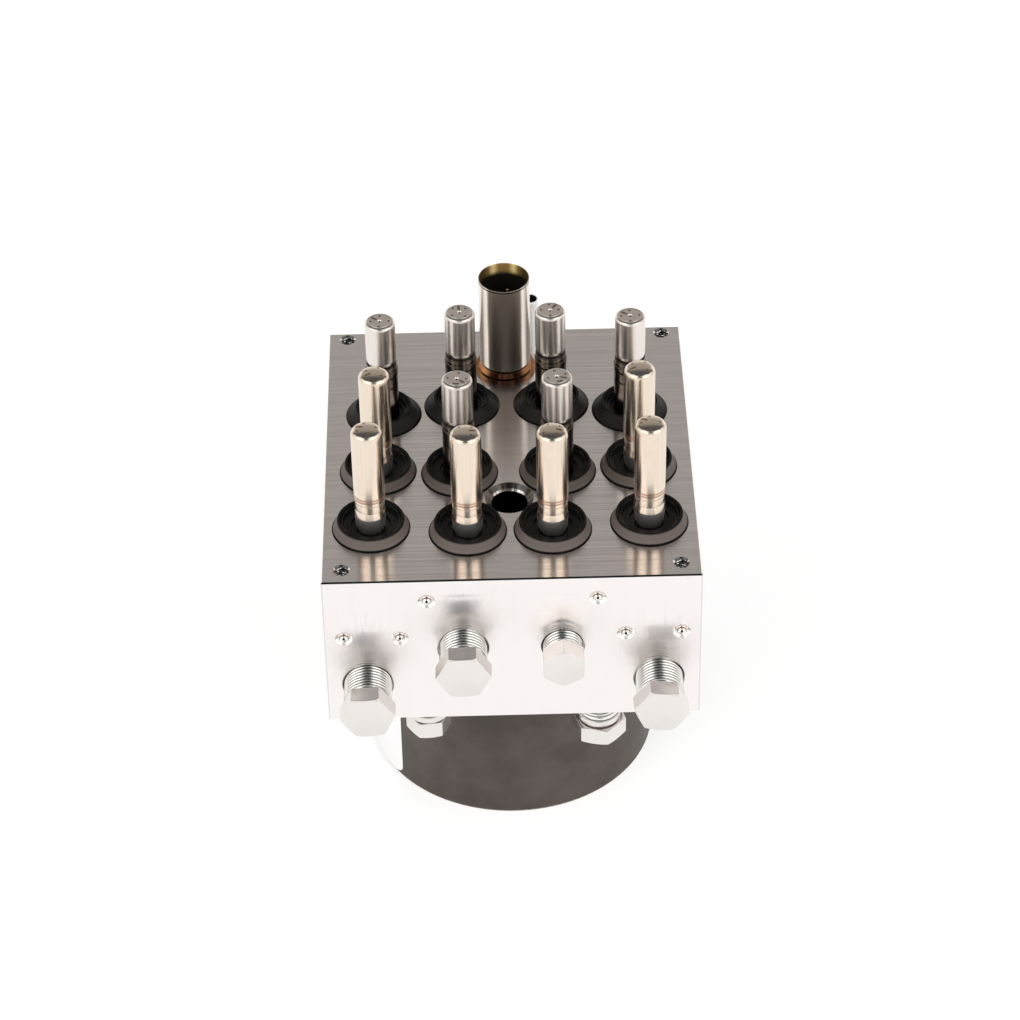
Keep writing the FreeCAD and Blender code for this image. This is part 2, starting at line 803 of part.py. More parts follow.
def motor_label():
    """Blank sticker that follows the motor's wall, with rounded corners."""
    radius = motor_radius + running_fit
    outer = radius + label_thickness
    band = turned((radius, label_bottom), (outer, label_bottom), (outer, label_bottom + label_height),
                  (radius, label_bottom + label_height))
    half = math.radians(label_angle / 2) * outer
    deep = 2 * motor_radius
    plate = Part.makeBox(2 * half, deep, label_height, vec(-half, -deep, label_bottom))
    uprights = [edge for edge in plate.Edges if abs(edge.tangentAt(0).y) > 0.9]
    plate = plate.makeFillet(label_corner, uprights)
    width = 2 * outer * math.sin(math.radians(label_angle / 2))
    scale = FreeCAD.Matrix()
    scale.scale(width / (2 * half), 1, 1)
    label = band.common(plate.transformGeometry(scale))
    return placed(label, 0, 0, 0, turn=label_start + label_angle / 2)


def magnets():
    """Four magnet shells glued inside the can."""
    outer = motor_radius - motor_wall - running_fit
    inner = outer - magnet_thickness
    face = Part.Face(Part.makePolygon([
        vec(inner, 0, magnet_bottom), vec(outer, 0, magnet_bottom), vec(outer, 0, magnet_top),
        vec(inner, 0, magnet_top), vec(inner, 0, magnet_bottom)]))
    shell = face.revolve(vec(0, 0, 0), vec(0, 0, 1), magnet_span)
    first = magnet_turn - magnet_span / 2
    return Part.makeCompound([placed(shell, 0, 0, 0, turn=first + 90 * i) for i in range(4)])


def core_radius():
    return motor_radius - motor_wall - running_fit - magnet_thickness - air_gap


def winding_radii():
    outer = core_radius() - winding_inset
    return outer - winding_width, outer


def slot_bars(width, depth, bottom, top, inset):
    """One bar for each slot of the armature, from the core's rim inwards."""
    start = core_radius() - depth
    bar = Part.makeBox(depth + inset, width, top - bottom, vec(start, -width / 2, bottom))
    return [placed(bar, 0, 0, 0, turn=360 / core_slots * i) for i in range(core_slots)]


def armature_core():
    core = turned((shaft_radius, core_bottom), (core_radius(), core_bottom), (core_radius(), core_top),
                  (shaft_radius, core_top))
    return core.cut(slot_bars(slot_width, slot_depth, core_bottom, core_top, cutter_over))


def armature_winding():
    """Copper winding: end turns over and under the core, joined by a bar in each slot."""
    inner, outer = winding_radii()
    shapes = []
    for bottom in (core_bottom - winding_height, core_top):
        shapes.append(turned((inner, bottom), (outer, bottom), (outer, bottom + winding_height),
                             (inner, bottom + winding_height)))
    width = slot_width - 2 * loose_gap
    depth = slot_depth - loose_gap
    shapes += slot_bars(width, depth, core_bottom, core_top, -winding_inset)
    return shapes[0].fuse(shapes[1:]).removeSplitter()


def commutator():
    """Segmented copper drum that the brushes press on."""
    bottom = core_top + winding_height / 2
    drum = turned((shaft_radius, bottom), (commutator_radius, bottom),
                  (commutator_radius, bottom + commutator_length),
                  (shaft_radius, bottom + commutator_length))
    width, depth = commutator_groove
    groove = Part.makeBox(depth + cutter_over, width, commutator_length,
                          vec(commutator_radius - depth, -width / 2, bottom))
    return drum.cut([placed(groove, 0, 0, 0, turn=360 / core_slots * i) for i in range(core_slots)])


def rotor_shaft():
    """Shaft with its journals and the eccentric that drives the pumps."""
    rear = motor_end / 2 + loose_gap
    rear_end = motor_end + rear_bearing_width + loose_gap
    low = eccentric_bottom()
    high = low + eccentric_width
    top = chamber_floor() + chamber_height + end_bearing_width - loose_gap
    journal = rear_journal_radius - loose_gap
    shaft = turned((0, rear), (journal, rear), (journal, rear_end), (shaft_radius, rear_end),
                   (shaft_radius, high), (end_journal_radius, high), (end_journal_radius, top), (0, top))
    eccentric = Part.makeCylinder(eccentric_radius, eccentric_width, vec(0, eccentric_offset, low))
    return shaft.fuse(eccentric).removeSplitter()


def eccentric_ring():
    """Outer race of the needle bearing, which the pistons ride on."""
    low = eccentric_bottom() + loose_gap
    high = low + eccentric_width - 2 * loose_gap
    ring = turned((ring_inner_radius(), low), (ring_outer_radius(), low), (ring_outer_radius(), high),
                  (ring_inner_radius(), high))
    return placed(ring, 0, eccentric_offset, 0)


def eccentric_needles():
    circle = eccentric_radius + needle_radius + running_fit
    low = eccentric_bottom() + 2 * loose_gap
    height = eccentric_width - 4 * loose_gap
    needle = Part.makeCylinder(needle_radius, height, vec(circle, 0, low))
    step = 360 / needle_count
    return Part.makeCompound([placed(needle, 0, eccentric_offset, 0, turn=step * i)
                              for i in range(needle_count)])


def brush_boxes(gap):
    """Block on each side of the commutator, from just off its surface outwards."""
    start = commutator_radius + running_fit
    width = brush_width + 2 * gap
    height = brush_height + 2 * gap
    bottom = holder_bottom + (holder_thickness - brush_height) / 2 - gap
    boxes = []
    for turn in (90, 270):
        box = Part.makeBox(brush_length + gap, width, height, vec(start, -width / 2, bottom))
        boxes.append(placed(box, 0, 0, 0, turn=turn))
    return boxes


def brush_holder():
    """Plastic plate across the can's mouth that guides the brushes and carries the terminal."""
    radius = motor_radius - motor_wall - loose_gap
    top = holder_bottom + holder_thickness
    plate = turned((holder_hole_radius, holder_bottom), (radius, holder_bottom), (radius, top),
                   (holder_hole_radius, top))
    return plate.cut(brush_boxes(running_fit))


def build():
    """All pieces by node name."""
    nodes = {"valve_block": valve_block()}
    for name, (x, y), kind in VALVES:
        for side_name, side in SIDES:
            nodes["valve_" + name + "_" + side_name] = on_block(valve(kind), side * x, y)
            nodes["plunger_" + name + "_" + side_name] = on_block(plunger(kind), side * x, y)
    for row in ("front", "middle", "back"):
        rim = back_seal_rim_radius if row == "back" else seal_rim_radius
        seals = [on_block(seal_cup(kind, rim), side * x, y) for name, (x, y), kind in VALVES
                 for side_name, side in SIDES if name.startswith(row)]
        nodes["seal_cups_" + row] = Part.makeCompound(seals)
    nodes["sensor_can"] = on_block(sensor_can(), 0, sensor_y)
    nodes["sensor_ring"] = on_block(sensor_ring(), 0, sensor_y)
    nodes["sensor_header"] = on_block(sensor_header(), 0, sensor_y)
    nodes["sensor_contacts"] = on_block(sensor_contacts(), 0, sensor_y)
    nodes["terminal_sleeve"] = on_block(terminal_sleeve(), *terminal_place())
    nodes["terminal_contact"] = on_block(terminal_contact(), *terminal_place())
    nodes["port_plugs_large"] = screw_plugs("large")
    nodes["port_plugs_small"] = screw_plugs("small")
    nodes["channel_plugs"] = Part.makeCompound([placed(channel_plug(), x, y, z, "-Y")
                                                for x, y, z in channel_places()])
    for name, x, y, z in accumulator_places():
        nodes["accumulator_piston_" + name] = placed(accumulator_piston(), x, y, z, "+Y")
    nodes["accumulator_caps"] = accumulator_caps()
    nodes["pump_piston_left"] = placed(pump_piston(), 0, 0, pump_z, "-X")
    nodes["pump_piston_right"] = placed(pump_piston(), 0, 0, pump_z, "+X")
    nodes["pump_plugs"] = pump_plugs()
    nodes["motor_can"] = motor_can()
    nodes["motor_screws"] = motor_screws()
    nodes["motor_label"] = motor_label()
    nodes["magnets"] = magnets()
    nodes["rotor_shaft"] = rotor_shaft()
    nodes["armature_core"] = armature_core()
    nodes["armature_winding"] = armature_winding()
    nodes["commutator"] = commutator()
    nodes["eccentric_ring"] = eccentric_ring()
    nodes["eccentric_needles"] = eccentric_needles()
    bore = running_fit
    nodes["rear_bearing"] = placed(bearing(rear_journal_radius - loose_gap + bore, rear_bearing_radius,
                                           rear_bearing_width), 0, 0, motor_end)
    nodes["front_bearing"] = placed(bearing(shaft_radius + bore, front_bearing_radius, front_bearing_width),
                                    0, 0, block_bottom)
    nodes["end_bearing"] = placed(bearing(end_journal_radius + bore, end_bearing_radius, end_bearing_width),
                                  0, 0, chamber_floor() + chamber_height)
    nodes["brush_holder"] = brush_holder()
    nodes["brushes"] = Part.makeCompound(brush_boxes(0))
    return nodes


os.makedirs("parts", exist_ok=True)
for node, shape in build().items():
    shape.exportStep(os.path.join("parts", node + ".step"))
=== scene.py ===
import bpy
import json
import math
import random
from mathutils import Matrix, Vector


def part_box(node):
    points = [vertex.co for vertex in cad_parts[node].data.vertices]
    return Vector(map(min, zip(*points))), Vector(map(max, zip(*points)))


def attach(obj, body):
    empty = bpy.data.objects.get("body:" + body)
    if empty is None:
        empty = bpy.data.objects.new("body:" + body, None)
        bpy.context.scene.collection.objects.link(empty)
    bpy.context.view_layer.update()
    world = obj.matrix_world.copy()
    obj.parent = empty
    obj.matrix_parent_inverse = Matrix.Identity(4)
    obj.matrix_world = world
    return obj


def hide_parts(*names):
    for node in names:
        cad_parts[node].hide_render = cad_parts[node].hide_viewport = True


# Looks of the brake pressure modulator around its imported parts. Sizes in the code are in
# millimetres and go to metres where a mesh is made. Local z = 0 is the block's face for what stands
# on it or is pressed into it, and the head's outer face for a screw plug.

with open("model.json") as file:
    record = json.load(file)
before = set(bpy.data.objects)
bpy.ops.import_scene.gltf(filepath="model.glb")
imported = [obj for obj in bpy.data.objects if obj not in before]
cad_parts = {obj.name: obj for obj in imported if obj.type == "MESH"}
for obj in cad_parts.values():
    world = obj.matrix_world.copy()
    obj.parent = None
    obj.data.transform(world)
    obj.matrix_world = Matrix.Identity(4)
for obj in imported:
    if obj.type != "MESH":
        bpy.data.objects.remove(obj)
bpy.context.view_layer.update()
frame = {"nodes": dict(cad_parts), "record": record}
nodes = frame["nodes"]
scene = bpy.context.scene
random.seed(7)

MM = 0.001
block_low, block_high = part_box("valve_block")
TOP = block_high.z / MM
BOTTOM = block_low.z / MM
FRONT = block_low.y / MM
BACK = block_high.y / MM
SIDE = block_high.x / MM
MIDDLE_Y = (block_low.y + block_high.y) / 2 / MM
SMOOTH_VALVES = ("front_outer", "front_inner", "middle_outer")
FLAT_VALVES = ("middle_inner", "back_outer", "back_inner")
SIDES = ("left", "right")

# sizes that both the shapes and their materials use
SEAL_RADIUS = 9.5
SEAL_RIMS = {"front": 8.3, "middle": 8.3, "back": 7.2}
SENSOR_RADIUS, SENSOR_HEIGHT = 6.6, 28.7
TERMINAL_SOCKET = 1.7
THREAD_RADII = {"large": 6.0, "small": 5.0}
LOCATING_BORE_Y, LOCATING_MOUTH = MIDDLE_Y - 19.6, 6.1
# how far inside the block's faces the painted shade of its holes starts
HOLE_SHADE_DEPTH = 0.65


# material graph helpers

def rgb(colour):
    return (*colour, 1.0)


class Graph:
    """Short names for the nodes of one material."""

    def __init__(self, owner):
        owner.use_nodes = True
        self.tree = owner.node_tree
        self.tree.nodes.clear()

    def add(self, kind, inputs=(), **settings):
        node = self.tree.nodes.new(kind)
        for name, value in settings.items():
            setattr(node, name, value)
        for key, value in dict(inputs).items():
            if isinstance(value, bpy.types.NodeSocket):
                self.tree.links.new(value, node.inputs[key])
            else:
                node.inputs[key].default_value = value
        return node

    def math(self, operation, a, b=0.0, clamp=False):
        node = self.add("ShaderNodeMath", {0: a, 1: b}, operation=operation, use_clamp=clamp)
        return node.outputs[0]

    def times(self, a, b):
        return self.math("MULTIPLY", a, b)

    def plus(self, a, b, clamp=False):
        return self.math("ADD", a, b, clamp)

    def varied(self, value, span, least):
        """A value from 0 to 1 as one that starts at least and grows by span."""
        return self.plus(self.times(value, span), least)

    def reach(self, x, y):
        """Distance from the local Z axis."""
        return self.math("SQRT", self.plus(self.times(x, x), self.times(y, y)))

    def between(self, value, low, high, to_low=0.0, to_high=1.0):
        """Smooth step of a value from one range to another."""
        node = self.add("ShaderNodeMapRange", {0: value, 1: low, 2: high, 3: to_low, 4: to_high},
                        interpolation_type="SMOOTHSTEP")
        return node.outputs[0]

    def band(self, value, low, high, soft):
        """1 between two levels, with soft ends."""
        up = self.between(value, low - soft, low + soft)
        down = self.between(value, high - soft, high + soft, 1.0, 0.0)
        return self.times(up, down)

    def mix(self, factor, a, b):
        """Mix of two colours, each a socket or three numbers."""
        a, b = (rgb(colour) if isinstance(colour, tuple) else colour for colour in (a, b))
        return self.add("ShaderNodeMix", {0: factor, 6: a, 7: b}, data_type="RGBA").outputs[2]

    def ramp(self, factor, stops):
        node = self.add("ShaderNodeValToRGB", {0: factor})
        ramp = node.color_ramp
        while len(ramp.elements) < len(stops):
            ramp.elements.new(0.5)
        for element, (at, colour) in zip(ramp.elements, stops):
            element.position = at
            element.color = rgb(colour)
        return node.outputs[0]

    def noise(self, vector, scale, detail=3.0, roughness=0.5):
        return self.add("ShaderNodeTexNoise", {"Vector": vector, "Scale": scale, "Detail": detail,
                                               "Roughness": roughness}).outputs[0]

    def place(self):
        return self.add("ShaderNodeTexCoord").outputs["Object"]

    def split(self, vector):
        return self.add("ShaderNodeSeparateXYZ", {0: vector}).outputs

    def join(self, x=0.0, y=0.0, z=0.0):
        return self.add("ShaderNodeCombineXYZ", {0: x, 1: y, 2: z}).outputs[0]

    def scaled(self, vector, x, y, z):
        return self.add("ShaderNodeMapping", {"Vector": vector, "Scale": (x, y, z)}).outputs[0]

    def wrapped(self, x, y, z, rise):
        """Place on a unit cylinder, with its height times the rise."""
        angle = self.math("ARCTAN2", y, x)
        return self.join(self.math("COSINE", angle), self.math("SINE", angle), self.times(z, rise))

    def bump(self, height, strength, distance):
        return self.add("ShaderNodeBump", {"Height": height, "Strength": strength,
                                           "Distance": distance}).outputs[0]

    def surface(self, **sockets):
        """Principled surface that ends the material."""
        inputs = {name.replace("_", " "): value for name, value in sockets.items()}
        shader = self.add("ShaderNodeBsdfPrincipled", inputs)
        self.add("ShaderNodeOutputMaterial", {"Surface": shader.outputs[0]})


def material(name):
    made = bpy.data.materials.new(name)
    return made, Graph(made)


# materials

def can_steel(name, colour, dark, roughness, zones, pit_shade=0.0):
    """Drawn steel of a valve.

    Each zone is a band of heights with its softness, colour, strength and added roughness. The pit
    shade, if given, is the radius of painted shade that turns the middle of a dimple black.
    """
    made, g = material(name)
    place = g.place()
    x, y, z = g.split(place)
    grain = g.noise(g.scaled(g.wrapped(x, y, z, 22.0), 26.0, 26.0, 1.0), 1.0, 4.0, 0.6)
    rings = g.noise(g.join(0.0, 0.0, g.times(z, 7000.0)), 1.0, 2.0)
    stain = g.noise(place, 240.0, 3.0)
    tone = g.times(g.between(grain, 0.35, 0.75), 0.22)
    tone = g.plus(tone, g.times(g.between(stain, 0.5, 0.8), 0.22), clamp=True)
    base = g.mix(tone, colour, dark)
    rough = g.varied(grain, 0.10, roughness - 0.05)
    for low, high, soft, zone_colour, strength, rougher in zones:
        zone = g.band(z, low * MM, high * MM, soft * MM)
        patchy = g.between(stain, 0.2, 0.6, 0.85 * strength, strength)
        base = g.mix(g.times(zone, patchy), base, zone_colour)
        rough = g.plus(rough, g.times(zone, rougher))
    # painted shade: the middle of a flat top's dimple goes black
    if pit_shade:
        centre = g.between(g.reach(x, y), (pit_shade + 0.03) * MM, (pit_shade - 0.03) * MM)
        base = g.mix(centre, base, (0.0, 0.0, 0.0))
    height = g.plus(g.times(grain, 0.2), g.times(rings, 0.5))
    g.surface(Base_Color=base, Metallic=1.0, Roughness=rough,
              Normal=g.bump(height, 0.25, 0.01 * MM))
    return made


def plain_metal(name, colour, dark, roughness, grain_scale=400.0):
    """Machined or plated metal with an even, fine mottle."""
    made, g = material(name)
    place = g.place()
    mottle = g.noise(place, grain_scale, 4.0, 0.6)
    broad = g.noise(place, grain_scale / 8, 2.0)
    base = g.mix(g.between(broad, 0.35, 0.75, 0.0, 0.6), colour, dark)
    g.surface(Base_Color=base, Metallic=1.0, Roughness=g.varied(mottle, 0.16, roughness - 0.08),
              Normal=g.bump(mottle, 0.2, 0.02 * MM))
    return made


def coated(name, colour, light, roughness, grain_scale=700.0, metallic=0.0):
    """Paint, plastic or rubber with a fine skin and slow changes of tone."""
    made, g = material(name)
    place = g.place()
    fine = g.noise(place, grain_scale, 4.0, 0.6)
    broad = g.noise(place, grain_scale / 12, 3.0)
    base = g.mix(g.between(broad, 0.3, 0.75), colour, light)
    g.surface(Base_Color=base, Metallic=metallic, Roughness=g.varied(fine, 0.2, roughness - 0.1),
              Normal=g.bump(fine, 0.3, 0.03 * MM))
    return made


def block_metal():
    """Milled aluminium: brushed along X on top, smoother on the walls, with painted shade inside
    its holes, a painted dark reflection on the chamfer along the top's front edge and dark streaks
    of painted reflection on the locating bore's chamfer.
    """
    made, g = material("milled_aluminium")
    x, y, z = g.split(g.place())
    facing = g.split(g.add("ShaderNodeNewGeometry").outputs["Normal"])
    top = g.between(facing[2], 0.9, 0.98)
    front = g.between(facing[1], -0.9, -0.98)
    upright = g.between(g.math("ABSOLUTE", facing[2]), 0.1, 0.02)
    lines = g.noise(g.join(g.times(x, 26.0), g.times(y, 4200.0)), 1.0, 3.0, 0.65)
    wide = g.noise(g.join(g.times(x, 5.0), g.times(y, 300.0)), 1.0, 3.0)
    mill = g.noise(g.join(g.times(x, 500.0), g.times(z, 40.0), g.times(y, 500.0)), 1.0, 3.0)
    brushed = g.between(g.plus(g.times(lines, 0.8), g.times(wide, 0.2)), 0.3, 0.7)
    base = g.mix(g.times(g.times(brushed, top), 0.8), (0.98, 0.945, 0.925), (0.68, 0.645, 0.63))
    base = g.mix(upright, base, (0.72, 0.69, 0.675))
    base = g.mix(front, base, (0.87, 0.83, 0.815))
    # painted dark reflection on the chamfer along the top's front edge
    edge = g.times(g.band(facing[2], 0.3, 0.9, 0.05), g.between(facing[1], -0.3, -0.4))
    edge = g.times(edge, g.between(z, (TOP - 1.2) * MM, (TOP - 1.0) * MM))
    base = g.mix(edge, base, (0.10, 0.105, 0.10))
    rough = g.add("ShaderNodeMix", {0: front, 2: g.varied(lines, 0.10, 0.16),
                                    3: g.varied(mill, 0.10, 0.20)}, data_type="FLOAT").outputs[0]
    bore_y = g.math("SUBTRACT", y, LOCATING_BORE_Y * MM)
    reach = g.reach(x, bore_y)
    turned = g.times(g.between(reach, (LOCATING_MOUTH + 0.02) * MM, (LOCATING_MOUTH - 0.02) * MM),
                     g.between(z, (TOP - 2.0) * MM, (TOP - 1.9) * MM))
    radial = g.join(g.math("DIVIDE", x, reach), g.math("DIVIDE", bore_y, reach))
    # painted reflection: dark radial streaks on the locating bore's turned chamfer
    reflection_streaks = g.between(g.noise(g.scaled(radial, 4.0, 4.0, 4.0), 1.0, 2.0), 0.4, 0.6)
    base = g.mix(g.times(turned, g.times(reflection_streaks, 0.8)), base, (0.10, 0.08, 0.07))
    # painted shade inside the holes: surfaces more than the set depth inside the block's faces go
    # dark
    painted_hole_shade = g.times(g.band(z, (BOTTOM + HOLE_SHADE_DEPTH) * MM, (TOP - HOLE_SHADE_DEPTH) * MM, 0.05 * MM),
                   g.band(y, (FRONT + HOLE_SHADE_DEPTH) * MM, (BACK - HOLE_SHADE_DEPTH) * MM, 0.05 * MM))
    painted_hole_shade = g.times(painted_hole_shade, g.band(x, (HOLE_SHADE_DEPTH - SIDE) * MM, (SIDE - HOLE_SHADE_DEPTH) * MM, 0.05 * MM))
    painted_hole_shade = g.times(painted_hole_shade, g.math("SUBTRACT", 1.0, turned))
    base = g.mix(painted_hole_shade, base, (0.10, 0.10, 0.10))
    height = g.plus(g.times(g.times(lines, top), 0.6), g.times(g.times(mill, upright), 0.15))
    g.surface(Base_Color=base, Metallic=1.0, Roughness=rough, Anisotropic=0.93,
              Tangent=g.mix(turned, (0.0, 1.0, 0.0), radial),
              Normal=g.bump(height, 0.18, 0.01 * MM))
    return made


def seal_rubber(name, cone_sheen, rim):
    """Black rubber, glossy in the dish, with a painted sheen as the given tone on the outer cone
    below the rim.
    """
    made, g = material(name)
    place = g.place()
    x, y, z = g.split(place)
    fine = g.noise(place, 1500.0, 4.0, 0.6)
    outside = g.times(g.between(g.reach(x, y), (rim + 0.02) * MM, (rim + 0.2) * MM),
                      g.between(z, 0.35 * MM, 0.6 * MM))
    rough = g.plus(g.varied(fine, 0.16, 0.20), g.times(outside, 0.2))
    g.surface(Base_Color=g.mix(outside, (0.003, 0.003, 0.003), cone_sheen), Roughness=rough,
              Specular_IOR_Level=0.16, Normal=g.bump(fine, 0.25, 0.02 * MM))
    return made


def sensor_steel_painted_light():
    """Stainless can with painted light: a painted dark reflection in front, painted highlights at
    its sides, a painted dark line at its rim, and heat-tinted gold inside its mouth with painted
    highlights on its far wall and painted shade deeper down.
    """
    made, g = material("sensor_steel_painted_light")
    x, y, z = g.split(g.place())
    angle = g.math("ARCTAN2", y, x)
    grain = g.noise(g.scaled(g.wrapped(x, y, z, 16.0), 30.0, 30.0, 1.0), 1.0, 4.0, 0.6)
    steel = g.mix(g.between(grain, 0.3, 0.75, 0.0, 0.4), (0.84, 0.75, 0.66), (0.66, 0.57, 0.48))
    aside = g.math("ABSOLUTE", g.plus(angle, math.pi / 2))
    # painted highlights: bright bands at the can's sides
    steel = g.mix(g.band(aside, 0.72, 0.98, 0.10), steel, (0.98, 0.93, 0.86))
    # painted dark reflection across the can's front
    front = g.between(aside, 0.78, 0.62)
    steel = g.mix(g.times(front, 0.9), steel, (0.29, 0.245, 0.21))
    # painted shade: a dark line round the rim
    rim_painted_shade = g.band(z, (SENSOR_HEIGHT - 0.6) * MM, (SENSOR_HEIGHT - 0.2) * MM, 0.05 * MM)
    steel = g.mix(rim_painted_shade, steel, (0.05, 0.045, 0.04))
    # inside the mouth: heat-tinted gold with painted light, brighter towards the far wall with
    # painted highlights on it, and painted shade deeper down
    behind = g.math("ABSOLUTE", g.math("SUBTRACT", angle, math.pi / 2))
    gold_painted_light = g.mix(g.between(behind, 1.0, 0.5), (0.09, 0.06, 0.02), (0.34, 0.21, 0.07))
    gold_painted_light = g.mix(g.band(behind, 0.30, 0.56, 0.12), gold_painted_light, (1.0, 0.76, 0.34))
    mouth = g.between(z, (SENSOR_HEIGHT - 3.5) * MM, (SENSOR_HEIGHT - 1.9) * MM)
    gold = g.mix(mouth, (0.012, 0.011, 0.008), gold_painted_light)
    inside = g.between(g.reach(x, y), (SENSOR_RADIUS - 0.1) * MM, (SENSOR_RADIUS - 0.2) * MM)
    rough = g.plus(g.times(grain, 0.12), g.varied(inside, 0.14, 0.16))
    g.surface(Base_Color=g.mix(inside, steel, gold),
              Metallic=g.math("SUBTRACT", 1.0, g.times(inside, 0.65)),
              Roughness=g.plus(rough, g.times(front, 0.26)),
              Normal=g.bump(grain, 0.2, 0.01 * MM))
    return made


def copper_painted_shade():
    """Copper ring with painted shade darkening its front, and orange at its sides."""
    made, g = material("copper_painted_shade")
    place = g.place()
    x, y, _ = g.split(place)
    aside = g.math("ABSOLUTE", g.plus(g.math("ARCTAN2", y, x), math.pi / 2))
    stain = g.noise(place, 260.0, 4.0, 0.6)
    base = g.mix(g.between(stain, 0.35, 0.75), (0.50, 0.235, 0.10), (0.30, 0.13, 0.055))
    # painted shade: the ring darkens towards its front
    base = g.mix(g.between(aside, 1.0, 0.55), base, (0.085, 0.040, 0.022))
    g.surface(Base_Color=base, Metallic=1.0, Roughness=g.varied(stain, 0.2, 0.14))
    return made


def terminal_plastic():
    """White tube with painted shade that turns its socket black."""
    made, g = material("terminal_plastic")
    place = g.place()
    x, y, _ = g.split(place)
    # painted shade: the inside of the socket is black
    inside = g.between(g.reach(x, y), (TERMINAL_SOCKET + 0.15) * MM, (TERMINAL_SOCKET + 0.08) * MM)
    fine = g.noise(place, 700.0, 4.0, 0.6)
    g.surface(Base_Color=g.mix(inside, (0.90, 0.91, 0.91), (0.01, 0.01, 0.01)),
              Roughness=g.varied(fine, 0.2, 0.2))
    return made


def screw_thread(name, radius):
    """Zinc plate on a thread, with painted shade darkening it towards its grooves."""
    made, g = material(name)
    place = g.place()
    x, y, _ = g.split(place)
    groove_shade = g.between(g.reach(x, y), (radius - 0.15) * MM, (radius - 0.5) * MM)
    mottle = g.noise(place, 300.0, 4.0, 0.6)
    g.surface(Base_Color=g.mix(groove_shade, (0.86, 0.85, 0.82), (0.16, 0.16, 0.155)), Metallic=1.0,
              Roughness=g.varied(mottle, 0.1, 0.14))
    return made


def thread_painted_glints():
    """Tapped thread: painted shade on its flanks with painted glints in random bright spots."""
    made, g = material("hole_thread")
    # painted glints in random spots over painted shade
    crest = g.between(g.noise(g.place(), 1300.0, 3.0, 0.6), 0.47, 0.55)
    g.surface(Base_Color=g.mix(crest, (0.05, 0.05, 0.05), (1.0, 1.0, 0.98)), Metallic=1.0,
              Roughness=0.16)
    return made


def domed_plug():
    """Steel ball-faced plug with a painted dark spot of shade near its top and a brown ring where
    it was upset into its bore.
    """
    made, g = material("domed_plug")
    place = g.place()
    x, y, _ = g.split(place)
    fine = g.noise(place, 1200.0, 3.0)
    ring = g.band(g.reach(x, y), 1.02 * MM, 1.18 * MM, 0.03 * MM)
    base = g.mix(ring, (0.90, 0.87, 0.84), (0.20, 0.11, 0.07))
    # painted shade: a dark spot near the top of the dome
    dot = g.reach(x, g.math("SUBTRACT", y, 0.38 * MM))
    base = g.mix(g.between(dot, 0.36 * MM, 0.30 * MM), base, (0.01, 0.01, 0.01))
    g.surface(Base_Color=base, Metallic=1.0, Roughness=g.varied(fine, 0.15, 0.18))
    return made


def paper_label():
    """Blank pale label with a faint fibre."""
    made, g = material("blank_label")
    place = g.place()
    fibre = g.noise(place, 1800.0, 4.0, 0.7)
    broad = g.noise(place, 60.0, 2.0)
    base = g.mix(g.between(broad, 0.3, 0.8, 0.0, 0.5), (0.86, 0.86, 0.87), (0.80, 0.80, 0.81))
    g.surface(Base_Color=base, Roughness=g.varied(fibre, 0.2, 0.35),
              Normal=g.bump(fibre, 0.15, 0.01 * MM))
    return made


def motor_coat():
    """Matte dark brown coat, blotchy, with a lighter line at the lower rim."""
    made, g = material("motor_coat")
    place = g.place()
    z = g.split(place)[2]
    fine = g.noise(place, 900.0, 4.0, 0.65)
    broad = g.noise(place, 70.0, 4.0, 0.6)
    base = g.mix(g.between(broad, 0.3, 0.75), (0.052, 0.041, 0.035), (0.086, 0.068, 0.060))
    rim = g.times(g.between(z, 0.9 * MM, 0.3 * MM), g.between(fine, 0.3, 0.6, 0.5, 1.0))
    g.surface(Base_Color=g.mix(rim, base, (0.42, 0.34, 0.28)), Metallic=0.35,
              Roughness=g.varied(fine, 0.2, 0.40), Normal=g.bump(fine, 0.35, 0.03 * MM))
    return made


# foot, collar and the two weld lines of a domed valve
SMOOTH_ZONES = (
    (-30.0, 5.2, 0.15, (0.66, 0.65, 0.64), 1.0, 0.22),
    (10.25, 11.9, 0.2, (0.66, 0.46, 0.36), 0.7, 0.0),
    (10.60, 10.80, 0.05, (0.20, 0.09, 0.05), 0.9, 0.1),
    (11.31, 11.51, 0.05, (0.20, 0.09, 0.05), 0.9, 0.1),
)
# dark body of a flat valve, and painted shade in its two grooves and at the rolled-in edge of its
# can
FLAT_ZONES = (
    (-30.0, 17.5, 0.15, (0.17, 0.14, 0.115), 1.0, -0.06),
    (10.45, 10.95, 0.08, (0.01, 0.01, 0.01), 0.95, 0.1),
    (13.55, 14.05, 0.08, (0.01, 0.01, 0.01), 0.95, 0.1),
    (17.0, 17.7, 0.08, (0.03, 0.025, 0.02), 0.9, 0.1),
)
FLAT_PIT_SHADE = 0.33

